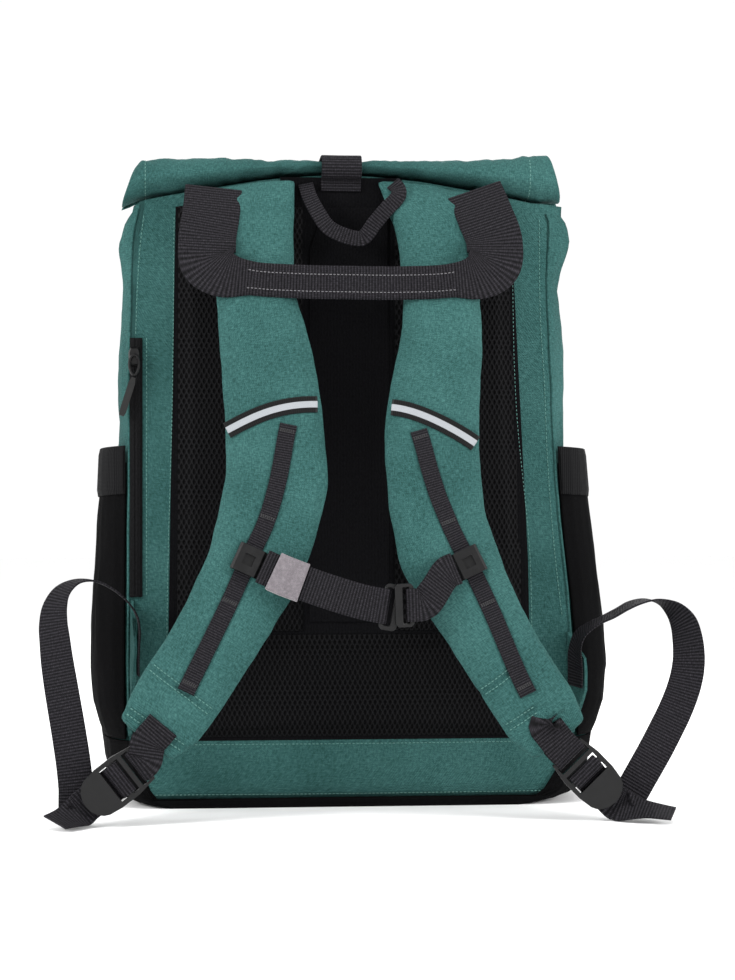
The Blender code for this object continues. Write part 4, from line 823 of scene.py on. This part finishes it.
# Sack
def contour(bm, z):
    """The largest closed outline of a mesh at height z."""
    cut = bm.copy()
    made = bmesh.ops.bisect_plane(
        cut, geom=[*cut.verts, *cut.edges, *cut.faces], plane_co=(0, 0, z), plane_no=(0, 0, 1), dist=1e-7
    )
    cut.verts.index_update()
    edges = [g for g in made["geom_cut"] if isinstance(g, bmesh.types.BMEdge)]
    left = {(e.verts[0], e.verts[1]) for e in edges}
    best = None
    while left:
        order = loop_order(left)
        inside = set(order)
        left = {pair for pair in left if pair[0] not in inside}
        loop = np.array([v.co for v in order])
        x = loop[:, 0]
        y = loop[:, 1]
        area = 0.5 * abs(np.dot(x, np.roll(y, 1)) - np.dot(y, np.roll(x, 1)))
        if best is None or area > best[0]:
            best = (area, loop)
    cut.free()
    return best[1]


SACK_BACK_COLUMNS = 80
SACK_ROUND_COLUMNS = 190
SACK_LEVELS = 96
SACK_FLOOR = 0.0062
SACK_TOP = 0.445
SACK_WALL = 0.0018


def sack_row(bm, z):
    loop = contour(bm, z)
    flat = np.where(loop[:, 1] < loop[:, 1].min() + 0.0008)[0]
    left = flat[np.argmin(loop[flat, 0])]
    right = flat[np.argmax(loop[flat, 0])]
    loop = np.roll(loop, -left, axis=0)
    right = (right - left) % len(loop)
    if loop[: right + 1, 1].max() > loop[right:, 1].max():
        front = loop[: right + 1]
        back = np.vstack([loop[right:], loop[:1]])
    else:
        front = np.vstack([loop[right:], loop[:1]])[::-1]
        back = loop[: right + 1][::-1]
    return np.vstack([spaced(front, SACK_ROUND_COLUMNS)[:-1], spaced(back, SACK_BACK_COLUMNS)[:-1]])


# Roll: across, lower edge, half height, middle out, half depth and lean of the ends, in millimetres
ROLL = (
    (-160, 447, 17.0, -63, 22, 6.0), (-151, 452, 17.3, -64, 25, 2.0), (-130, 456.5, 15.4, -65, 26, 0),
    (-100, 462, 12.4, -65, 26, 0), (-62, 468.8, 8.9, -65, 26, 0), (-26, 472.4, 7.0, -65, 26, 0),
    (-17, 473.0, 6.0, -65, 25, 0), (13.5, 473.0, 6.0, -65, 25, 0), (22, 472.6, 7.0, -65, 26, 0),
    (60, 469, 9.0, -65, 26, 0), (100, 462, 12.8, -65, 27, 0), (128, 456.5, 16.5, -65, 27, 0),
    (143, 453.2, 19.0, -64, 26, 2.0), (161, 452.2, 20.5, -62, 24, 6.0),
)


def under_roll(x):
    rows = np.array(ROLL)
    return float(np.interp(x / MM, rows[:, 0], rows[:, 1] + rows[:, 2] * 0.08)) * MM


def sack_sag(p, n):
    """How far the cloth is drawn in at this place: folds by the mouth, dents in the sides and front."""
    x, y, z = p
    on_back_panel = (1 - smoothstep(y, BACK + 0.004, BACK + 0.020)) * smoothstep(abs(n[1]), 0.5, 0.9)
    loose = 1 - on_back_panel
    side = smoothstep(abs(x), 0.10, 0.15)
    high = smoothstep(z, 0.28, 0.42)
    drag = fbm((x * 0.6, y * 1.6, z * 0.45), 17.0) * 0.5 + 0.5
    gather = fbm((x * 2.2, y * 2.6, z * 0.35), 22.0)
    cross = fbm((x * 0.5 + z * 0.7, y * 0.8, z * 1.5 - x * 0.5), 15.0)
    depth = 0.0022 * drag + 0.0020 * abs(gather) * high + 0.0016 * abs(cross)
    depth += 0.0020 * side * smoothstep(fbm((y, z * 0.5, x * 0.2), 34.0), 0.05, 0.5)
    near_pocket = side * (1 - smoothstep(z, 0.26, 0.30))
    depth *= 1 - 0.45 * near_pocket
    return depth * loose * (0.65 + 0.7 * smoothstep(y, -0.06, 0.02))


def make_sack_cloth():
    bm = welded("bag_body")
    heights = np.linspace(SACK_FLOOR, SACK_TOP, SACK_LEVELS)
    rows = [sack_row(bm, z) for z in heights]
    bm.free()
    lean = (rows[-1] - rows[-4]) / (heights[-1] - heights[-4])
    for share in (0.25, 0.5, 0.75, 1.0):
        row = rows[SACK_LEVELS - 1].copy()
        rim = np.array([under_roll(p[0]) - 0.0012 for p in row])
        rise = (rim - SACK_TOP) * share
        row[:, :2] += lean[:, :2] * rise[:, None] * 0.5
        row[:, 2] = SACK_TOP + rise
        rows.append(row)
    rows = np.array(rows)
    ahead = np.roll(rows, -1, axis=1) - np.roll(rows, 1, axis=1)
    facing = np.stack([ahead[:, :, 1], -ahead[:, :, 0], np.zeros(rows.shape[:2])], axis=2)
    facing /= np.maximum(np.linalg.norm(facing, axis=2, keepdims=True), 1e-9)
    middle = rows.mean(axis=1, keepdims=True)
    facing *= np.where(((rows - middle) * facing).sum(2).mean() < 0, -1, 1)
    sag = np.array([[sack_sag(p, n) for p, n in zip(r, f)] for r, f in zip(rows, facing)])
    outer = rows - facing * sag[:, :, None]
    inner = (outer - facing * SACK_WALL)[::-1]
    steps = np.linalg.norm(np.diff(rows, axis=1), axis=2)
    around = np.concatenate([np.zeros((len(rows), 1)), np.cumsum(steps, axis=1)], axis=1)
    start = around[:, SACK_ROUND_COLUMNS // 2][:, None]
    uv = np.stack([around - start, rows[:, :, 2]], axis=2)
    both = np.concatenate([outer, inner], axis=0)
    inner_low = both[-1].copy()
    inner_low[:, 2] += 0.003
    both[-1] = inner_low
    uv = np.concatenate([uv, uv[::-1]], axis=0)
    return grid_piece("sack_cloth", both, CLOTH, uv, slot="teal_cloth", stands_for=["bag_body"])


sack = make_sack_cloth()
sack_tree = tree_of(sack)


# Roll of the mouth
ROLL_TURNS = 1.80
ROLL_PITCH = 0.0023
ROLL_SHEET = 0.0016
ROLL_START = -0.20
ROLL_ROUND = 2 / 2.5


def roll_crease(x, angle):
    """Radial change of the rolled cloth: soft rings of cloth, pinched under the closing strap."""
    near_strap = 1 - smoothstep(abs(x + 0.0018), 0.016, 0.040)
    soft = fbm((x * 1.1 + 0.7, math.cos(angle) * 0.020, math.sin(angle) * 0.020), 34.0)
    drag = fbm((x * 3.4 + math.sin(angle) * 0.012, math.cos(angle) * 0.008, 0.3), 26.0)
    fan = abs(fbm((x * 2.2 - math.sin(angle) * 0.03, math.cos(angle) * 0.02, 0.9), 30.0))
    close = 1 - smoothstep(abs(x), 0.03, 0.11)
    ends = smoothstep(abs(x), 0.10, 0.15)
    pull = abs(fbm((x * 1.6 + math.sin(angle) * 0.05, math.cos(angle) * 0.012, 1.7), 24.0))
    folds = 0.0011 * soft + 0.0010 * drag - 0.0020 * fan * close - 0.0020 * pull * ends
    return folds * (1 - near_strap) - 0.0003


def make_roll_cloth():
    rows = np.array(ROLL, float)
    xs = rows[:, 0]
    stations = np.concatenate([np.linspace(-160, -152, 5), np.linspace(-150, 159.5, 190), [161.0]])
    angles = np.linspace(ROLL_START * 2 * math.pi, (ROLL_TURNS + ROLL_START) * 2 * math.pi, 110)
    rings = []
    uv = []
    for x in stations:
        bottom, half_z, mid_y, half_y, shear = [float(np.interp(x, xs, rows[:, k])) for k in range(1, 6)]
        mid_z = bottom + half_z
        outer = []
        inner = []
        along = []
        for angle in angles:
            inside = (angle - angles[0]) / (2 * math.pi) * ROLL_PITCH / MM
            move = roll_crease(x * MM, angle) / MM
            for target, extra in ((outer, 0.0), (inner, ROLL_SHEET / MM)):
                ry = max(half_y - inside - extra + move, 0.8)
                rz = max(half_z - inside - extra + move, 0.8)
                c = math.cos(angle)
                s = math.sin(angle)
                y = mid_y + ry * math.copysign(abs(c) ** ROLL_ROUND, c)
                z = mid_z + rz * math.copysign(abs(s) ** ROLL_ROUND, s)
                lean = -shear * (z - mid_z) / half_z * (1 if x > 0 else -1)
                target.append(((x + lean) * MM, y * MM, z * MM))
            along.append(angle * 0.022)
        rings.append(outer + inner[::-1])
        uv.append([(x * MM, a) for a in along] + [(x * MM, a) for a in along[::-1]])
    points = np.array(rings)
    stations_n, around = points.shape[:2]
    faces = grid_faces(stations_n, around)
    for r in (0, stations_n - 1):
        for c in range(len(angles) - 1):
            a = r * around + c
            b = r * around + around - 1 - c
            faces.append((a, a + 1, b - 1, b))
    item = make_piece(
        "roll_cloth", points.reshape(-1, 3), faces, CLOTH, uv=np.array(uv).reshape(-1, 2),
        slot="teal_cloth", stands_for=["roll_top"],
    )
    outward(item)
    return item


roll = make_roll_cloth()
roll_tree = tree_of(roll)


# Base and side pockets
def boot_shape(points, normals):
    move = np.array([0.0007 * fbm(p, 40.0) for p in points])
    return points + normals * move[:, None] * np.clip(points[:, 2:] / 0.01, 0, 1)


soft_copy("base_cloth", "base_boot", PLAIN_BLACK, "black_cloth", levels=2, shape=boot_shape)


def pocket_shape(points, normals):
    """Stretch cloth hanging in upright folds that gather under the elastic."""
    side = float(np.sign(points[:, 0].mean()))
    out = np.zeros_like(points)
    for i, (x, y, z) in enumerate(points):
        fold = fbm((y * 2.6, z * 0.35, side), 30.0) * 0.5 + 0.5 * abs(fbm((y * 4.0, z * 0.5, 2.0), 22.0))
        swell = math.sin(math.pi * min(max((z - 0.052) / 0.20, 0.0), 1.0)) ** 0.6
        edge = min(max((y + 0.078) / 0.012, 0.0), 1.0) * min(max((0.011 - y) / 0.010, 0.0), 1.0)
        out[i, 0] = side * (0.0006 + 0.0034 * abs(fold)) * swell * edge
    return points + out


for hand in ("left", "right"):
    soft_copy(
        "pocket_cloth_" + hand, "side_pocket_" + hand, PLAIN_BLACK, "black_cloth",
        levels=2, shape=pocket_shape,
    )
    soft_copy("rim_elastic_" + hand, "pocket_rim_" + hand, ELASTIC, "elastic", levels=2)


# Padded panels on the back
def pad_limit(points):
    """Keeps the backing flat and lets the outer face swell."""
    return smoothstep(-points[:, 1], -BACK + 0.0012, -BACK + 0.0030)


def make_pad_piece(name, node):
    item = remeshed(name, node, MESH, "mesh", 0.0028)
    puff(item, 0.0030, 5.0, limit=pad_limit)
    subdivide(item)
    flat_uv(item, (0, 1))
    return item


for end, node in (("left", "back_pad_left"), ("right", "back_pad_right"), ("low", "lumbar_pad")):
    make_pad_piece("mesh_pad_" + end, node)


def make_back_knit():
    """Black backing that shows between the pads and up to the roll."""
    outline = (
        (-131.5, 50), (142.5, 50), (140.0, 186), (126.5, 448), (46, 450), (44, 471), (-47, 471), (-49, 450),
        (-125.0, 448), (-129.5, 186),
    )
    near = BACK - 0.00034
    points = [(x * MM, y, z * MM) for y in (BACK - 0.00008, near) for x, z in outline]
    n = len(outline)
    faces = [tuple(range(n)), tuple(range(2 * n - 1, n - 1, -1))]
    faces += [(k, k + n, (k + 1) % n + n, (k + 1) % n) for k in range(n)]
    item = make_piece("back_knit", points, faces, KNIT, slot="black_cloth", smooth=False)
    outward(item)


make_back_knit()
spine = remeshed("spine_knit", "spine_panel", KNIT, "black_cloth", 0.0014)
flat_uv(spine, (0, 1))


# Shoulder straps
STRAP_COLUMNS = 56
STRAP_ROWS = 130
STRAP_END = {"left": (-0.158, -0.168, 0.034), "right": (0.156, -0.168, 0.037)}


def near_run(points, line, reach):
    """Distance from each point to a line, up to reach."""
    best = np.full(len(points), reach)
    for p in line:
        best = np.minimum(best, np.linalg.norm(points - p, axis=1))
    return best


def make_strap_foam(hand):
    rings = rings_of("shoulder_strap_" + hand, STRAP_END[hand])
    # The rings start on the side that faces the bag, where the cloth coordinates may jump
    rings = np.roll(rings, -int(np.argmax(rings[0][:, 1])), axis=1)
    closed = np.concatenate([rings, rings[:, :1]], axis=1)
    fine = np.array([spaced(ring, STRAP_COLUMNS + 1)[:-1] for ring in closed])
    centres = fine.mean(1)
    rows = smooth_rows(fine, STRAP_ROWS, length_along(centres))
    at = length_along(rows.mean(1))
    uv = np.zeros(rows.shape[:2] + (2,))
    for r in range(len(rows)):
        here = np.vstack([rows[r], rows[r][:1]])
        uv[r, :, 0] = length_along(here)[:-1]
        uv[r, :, 1] = at[r]
    item = grid_piece(
        "strap_foam_" + hand, rows, CLOTH, uv, slot="teal_cloth", stands_for=["shoulder_strap_" + hand]
    )
    puff(item, 0.0026, 7.0, stiff=20.0)
    points = points_of(item)
    dents = np.array([min(fbm((p[0] * 1.4, p[1], p[2]), 26.0), 0.1) + 0.5 * fbm(p, 70.0, 2) for p in points])
    put_points(item, points + normals_of(item) * (0.0011 * dents)[:, None])
    return item


straps = {hand: make_strap_foam(hand) for hand in ("left", "right")}


def press(item, band, reach=0.006):
    """Draws the foam in under a sewn-on band, so that the cloth swells up on both sides of it."""
    line, sides, ups, halves, deeps = band
    points = points_of(item)
    for i in range(0, len(line), 2):
        near = np.where(np.abs(points - line[i]).max(1) < halves[i] + reach + 0.004)[0]
        if not len(near):
            continue
        off = points[near] - line[i]
        across = np.abs(off @ sides[i])
        up = ups[i] if ups[i][1] < 0 else -ups[i]
        ahead = np.cross(sides[i], up)
        beside = np.abs(off @ ahead)
        height = off @ up
        ceiling = -deeps[i] - 0.00015 + np.maximum(across - halves[i], 0) * 0.55
        take = (beside < 0.0040) & (height > ceiling) & (height < 0.008) & (across < halves[i] + reach)
        points[near[take]] -= up * (height - ceiling)[take][:, None]
    put_points(item, points)


# Webbing, reflective strips and closing strap
# (piece, node, a place near one end)
for name, node, near in (
    ("chest_web_left", "chest_webbing_left", (-0.040, -0.14, 0.30)),
    ("chest_web_right", "chest_webbing_right", (0.046, -0.14, 0.30)),
):
    webbing(name, node, near, WEB_DARK, "webbing")
for name, node, near in (
    ("reflective_strip_left", "reflective_band_left", (-0.09, -0.14, 0.26)),
    ("reflective_strip_right", "reflective_band_right", (0.10, -0.14, 0.26)),
):
    webbing(name, node, near, SILVER, "reflective", fair=4)
for name, node, near in (
    ("end_tab_left", "strap_end_tab_left", (-0.14, -0.16, 0.08)),
    ("end_tab_right", "strap_end_tab_right", (0.15, -0.16, 0.08)),
    ("adjuster_web_left", "adjuster_webbing_left", (-0.153, -0.097, 0.10)),
    ("adjuster_web_right", "adjuster_webbing_right", (0.173, -0.097, 0.09)),
    ("hang_loop_web", "hang_loop", (-0.028, -0.082, 0.466)),
    ("closure_web", "closure_strap", (-0.0018, -0.08, 0.46)),
    ("anchor_web", "closure_anchor", (0.0, 0.08, 0.09)),
    ("sternum_web_left", "sternum_strap_left", (-0.0688, -0.158, 0.17)),
    ("sternum_web_right", "sternum_strap_right", (0.07, -0.165, 0.18)),
):
    webbing(name, node, near, WEB, "webbing")
soft_copy("felt_keeper", "sternum_keeper", FELTED, "felt", levels=2, bevel=0.0004)

for hand in ("left", "right"):
    press(straps[hand], BANDS["chest_web_" + hand])
    press(straps[hand], BANDS["reflective_strip_" + hand], 0.005)
    press(straps[hand], BANDS["end_tab_" + hand], 0.004)
    subdivide(straps[hand])
strap_trees = {hand: tree_of(straps[hand]) for hand in straps}


# Carry handle: across, height and out from the back plane in millimetres
HANDLE = (
    (-97, 460, 16.8), (-99, 440, 27.8), (-102, 418, 37.2), (-101, 403, 42.8), (-92, 394.5, 46.4),
    (-70, 390.5, 47.2), (-36, 388.5, 47.2), (0, 388, 47.2), (39, 388, 47.2), (75, 390, 47.2),
    (97, 394, 46.9), (107, 403, 43.6), (109, 418, 38.6), (103, 440, 30.4), (96, 460, 21.0),
)
HANDLE_HALF = 0.021
HANDLE_THICK = 0.0018


def make_handle_web():
    """Wide webbing, flat where it is sewn down and folded in half along the grip."""
    line = np.array([(x * MM, BACK - d * MM, z * MM) for x, z, d in HANDLE])
    line = smooth_rows(line, 260, length_along(line))
    along = tangents(line)
    at = length_along(line)
    rings = []
    uv = []
    frames = []
    for i, point in enumerate(line):
        end_in = min(at[i], at[-1] - at[i]) / at[-1] * 32
        fold = float(smoothstep(end_in, 5.6, 9.6))
        side = unit(np.cross(along[i], (0.0, -1.0, 0.0)))
        face = unit(np.cross(side, along[i]))
        if face[1] > 0:
            face = -face
        half = HANDLE_HALF * (1 - 0.47 * fold)
        thick = HANDLE_THICK * (1 + 1.1 * fold)
        soft = thick * 0.30 * fold
        section = [
            (-1.0, 0.0), (-0.985, 0.60), (-0.93, 0.95), (-0.80, 1.0), (-0.40, 0.93),
            (0.0, 0.90 + 0.15 * fold),
            (0.40, 0.93), (0.80, 1.0), (0.93, 0.95), (0.985, 0.60), (1.0, 0.0),
        ]
        section += [(u, -v) for u, v in section[1:-1][::-1]]
        ring = []
        pairs = []
        for u, v in section:
            reach = half + (soft if abs(u) > 0.95 else 0.0)
            ring.append(point + side * reach * u + face * thick / 2 * v)
            pairs.append((reach * u, at[i]))
        rings.append(ring)
        uv.append(pairs)
        frames.append((side, face, half, thick, fold))
    grid_piece("handle_web", np.array(rings), WEB, uv, slot="webbing", stands_for=["carry_handle"])
    return line, frames


handle_line, handle_frames = make_handle_web()


# Wings that carry the adjuster webbing
def wing_shape(points, normals):
    move = np.array([0.0009 * fbm(p, 45.0) for p in points])
    return points + np.array((1.0, 0.0, 0.0)) * move[:, None]


for hand in ("left", "right"):
    soft_copy("wing_cloth_" + hand, "wing_" + hand, CLOTH, "teal_cloth", levels=4, shape=wing_shape)


# Hard pieces keep their CAD shape and get softened edges
def hard(node, finish, width=0.00035):
    item = NODES[node]
    item.data.materials.clear()
    item.data.materials.append(finish)
    layer = item.modifiers.new("edge", "BEVEL")
    layer.width = width
    layer.segments = 2
    layer.limit_method = "ANGLE"
    layer.angle_limit = math.radians(35)
    item.data.shade_smooth()
    smooth = item.modifiers.new("facing", "WEIGHTED_NORMAL")
    smooth.keep_sharp = True


for hand in ("left", "right"):
    hard("ladder_lock_" + hand, PLASTIC, 0.0005)
    hard("chest_slider_" + hand, PLASTIC)
hard("sternum_buckle", PLASTIC)
hard("sternum_hook", PLASTIC)
hard("closure_clasp", PLASTIC, 0.0006)
hard("zip_slider", PLASTIC, 0.0003)
hard("zip_pull_ring", PLASTIC, 0.0001)
hard("zip_pull_cord", RUBBER, 0.0005)


# Zip: two tapes that meet over the closed coil
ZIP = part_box("zip_tape")
ZIP_TAPE = smooth_knit("zip tape", (0.002, 0.002, 0.002), (0.014, 0.014, 0.015), 0.0002)


def make_zip_strip():
    low, high = ZIP
    middle = (low.x + high.x) / 2 - 0.0006
    points = []
    faces = []
    uv = []
    profile = (
        (low.x, 0.0), (low.x + 0.0003, 0.0010), (middle - 0.0016, 0.0012), (middle - 0.0004, 0.0014),
        (middle, 0.0009), (middle + 0.0004, 0.0014), (middle + 0.0016, 0.0012), (high.x - 0.0003, 0.0010),
        (high.x, 0.0),
    )
    count = 150
    for k in range(count):
        z = low.z + (high.z - low.z) * k / (count - 1)
        for x, rise in profile:
            ripple = 0.00012 * math.sin(z * 900) if abs(x - middle) < 0.0012 else 0.0
            points.append((x, high.y - max(rise + ripple, 0.0001), z))
            uv.append((x, z))
    wide = len(profile)
    for k in range(count - 1):
        for c in range(wide - 1):
            a = k * wide + c
            faces.append((a, a + 1, a + wide + 1, a + wide))
        faces.append((k * wide + wide - 1, k * wide, (k + 1) * wide, (k + 1) * wide + wide - 1))
    faces.append(tuple(range(wide)))
    faces.append(tuple((count - 1) * wide + c for c in range(wide - 1, -1, -1)))
    item = make_piece(
        "zip_strip", points, faces, ZIP_TAPE, uv=uv, slot="black_cloth", stands_for=["zip_tape"]
    )
    outward(item)


make_zip_strip()


# Piping, seams and stitches on the back
def seam_x(tree, z, side):
    """Where the back panel ends at this height on one side (-1 left, 1 right)."""
    inside = 0.12 * side
    outside = 0.20 * side
    for _ in range(16):
        middle = (inside + outside) / 2
        hit = tree.ray_cast(Vector((middle, -0.4, z)), Vector((0, 1, 0)))[0]
        if hit is not None and hit.y < BACK + 0.0015:
            inside = middle
        else:
            outside = middle
    return inside


heights = np.linspace(0.054, 0.446, 60)
for hand, side in (("left", -1), ("right", 1)):
    edge = np.array([(seam_x(sack_tree, z, side), BACK + 0.0002, z) for z in heights])
    edge[:, 0] += side * 0.0003
    tube("seam_piping_" + hand, smooth_rows(edge, 180), 0.0011, CLOTH, "teal_cloth")

PANEL_SEAMS = (
    ((-148.5, 441), (-151, 420), (-153, 392), (-154.6, 352)),
    ((148.5, 441), (149.5, 366), (152.5, 318), (154.5, 267), (161, 184), (166, 142)),
    ((-146.4, 350), (-146.4, 158)),
    ((-126, 440), (-127.5, 300), (-130.5, 186), (-132.5, 60)),
    ((127.5, 440), (131, 300), (141.5, 186), (143, 60)),
    ((-150, 47.5), (0, 47), (158, 47.5)),
    ((-146, 10), (0, 9.5), (154, 10)),
)
stitches(
    "panel_stitches", [run_on(sack_tree, rows, 0.0001) for rows in PANEL_SEAMS], TEAL_THREAD, "teal_cloth"
)

# Cross seams of the straps: (x, z) ends in millimetres
STRAP_SEAMS = {
    "left": (((-143.5, 113.5), (-98.5, 79.0)), ((-162.0, 84.5), (-117.5, 54.0))),
    "right": (((75.0, 79.0), (117.5, 110.0)), ((91.0, 55.0), (133.5, 82.0))),
}


def seam_groove(item, line, reach=0.0042, depth=0.0017):
    """Draws the cloth in along a seam."""
    points = points_of(item)
    normals = normals_of(item)
    gap = near_run(points, line, 0.02)
    pull = depth * (1 - smoothstep(gap, 0.0004, reach))
    put_points(item, points - normals * pull[:, None])


for hand, seams in STRAP_SEAMS.items():
    runs = []
    for a, b in seams:
        line, ups = run_on(strap_trees[hand], (a, b), 0.0, 0.0012)
        seam_groove(straps[hand], line)
        across = unit(np.array((a[1] - b[1], 0.0, b[0] - a[0])))
        for off in (0.0024, -0.0024):
            shifted = line[2:-2] + across * off
            runs.append(run_of([on_back(strap_trees[hand], p[0], p[2], 0.0001) for p in shifted]))
    stitches("strap_stitches_" + hand, runs, TEAL_THREAD, "teal_cloth")


def band_run(band, share, low, high, lift=0.0001):
    """A run along a band at this share of its half width, between two shares of its length."""
    line, sides, ups, halves, deeps = BANDS[band]
    n = len(line)
    pick = range(int(low * (n - 1)), int(high * (n - 1)) + 1)
    points = []
    faces = []
    for i in pick:
        up = ups[i] if ups[i][1] < 0 else -ups[i]
        points.append(line[i] + sides[i] * halves[i] * share + up * (deeps[i] * 0.9 + lift))
        faces.append(up)
    return np.array(points), np.array(faces)


def bar_tack(band, at, rows=3, gap=0.0009):
    """Close rows of stitches straight across a band."""
    line, sides, ups, halves, deeps = BANDS[band]
    i = int(at * (len(line) - 1))
    up = ups[i] if ups[i][1] < 0 else -ups[i]
    ahead = np.cross(sides[i], up)
    runs = []
    for r in range(rows):
        centre = line[i] + ahead * (r - (rows - 1) / 2) * gap + up * (deeps[i] * 0.9 + 0.0001)
        ends = np.array([centre - sides[i] * halves[i] * 0.86, centre + sides[i] * halves[i] * 0.86])
        runs.append((ends, np.array([up, up])))
    return runs


for hand in ("left", "right"):
    tacks = []
    for at in (0.03, 0.34, 0.66, 0.97):
        tacks += bar_tack("chest_web_" + hand, at)
    stitches("chest_tacks_" + hand, tacks, BLACK_THREAD, "webbing", pitch=0.0014, share=0.8, radius=0.0003)
    tab = "end_tab_" + hand
    runs = [band_run(tab, -0.8, 0.05, 0.32), band_run(tab, 0.8, 0.05, 0.32)]
    runs += bar_tack(tab, 0.05, 1) + bar_tack(tab, 0.32, 1)
    stitches("tab_stitches_" + hand, runs, GREY_THREAD, "webbing", pitch=0.0024)

# Two rows of stitches hold the folded grip together
rows = []
for share in (0.62, -0.50):
    line = []
    ups = []
    for i, point in enumerate(handle_line):
        side, face, half, thick, fold = handle_frames[i]
        if fold > 0.9:
            line.append(point + side * half * share + face * (thick / 2 * 0.98 + 0.0001))
            ups.append(face)
    rows.append((np.array(line), np.array(ups)))
stitches("handle_stitches", rows, GREY_THREAD, "webbing", pitch=0.0028)

# Seams where the roll's end panels join
for hand, x in (("left", -0.1475), ("right", 0.1405)):
    run = run_of([on_back(roll_tree, x, z, 0.0001) for z in np.linspace(0.452, 0.486, 24)])
    stitches("roll_stitches_" + hand, [run], TEAL_THREAD, "teal_cloth")


# Setting: pale floor, soft light and the camera
def make_stage():
    mesh = bpy.data.meshes.new("floor")
    size = 6.0
    corners = [(-size, -size, 0), (size, -size, 0), (size, size, 0), (-size, size, 0)]
    mesh.from_pydata(corners, [], [(0, 1, 2, 3)])
    floor = bpy.data.objects.new("floor", mesh)
    bpy.context.scene.collection.objects.link(floor)
    s = Shader("floor", 0.9)
    s.bsdf.inputs["Base Color"].default_value = (0.97, 0.97, 0.97, 1)
    mesh.materials.append(s.mat)
    world = bpy.data.worlds.new("studio")
    world.use_nodes = True
    world.node_tree.nodes["Background"].inputs[0].default_value = (1, 1, 1, 1)
    world.node_tree.nodes["Background"].inputs[1].default_value = 1.02
    bpy.context.scene.world = world


def area_light(name, place, aim, size, power):
    data = bpy.data.lights.new(name, "AREA")
    data.shape = "DISK"
    data.size = size
    data.energy = power
    item = bpy.data.objects.new(name, data)
    item.location = place
    item.rotation_euler = (Vector(aim) - Vector(place)).to_track_quat("-Z", "Y").to_euler()
    bpy.context.scene.collection.objects.link(item)


make_stage()
bpy.context.scene.view_settings.view_transform = "Standard"
area_light("key", (-1.5, -0.9, 0.9), (0, 0, 0.25), 0.6, 24)
area_light("fill", (1.5, -0.9, 0.7), (0, 0, 0.25), 0.6, 20)
area_light("top", (0.0, -0.5, 1.6), (0, 0, 0.3), 0.6, 9)
area_light("rear", (0.3, 1.6, 0.9), (0, 0, 0.25), 1.2, 12)

camera = bpy.data.cameras.new("camera")
camera.sensor_width = 36
camera.lens = 80.8
camera.clip_start = 0.05
camera.clip_end = 50
view = bpy.data.objects.new("camera", camera)
view.location = (-0.1254, -1.7237, 0.237)
view.rotation_euler = (math.radians(90), 0, math.radians(-5))
bpy.context.scene.collection.objects.link(view)
bpy.context.scene.camera = view
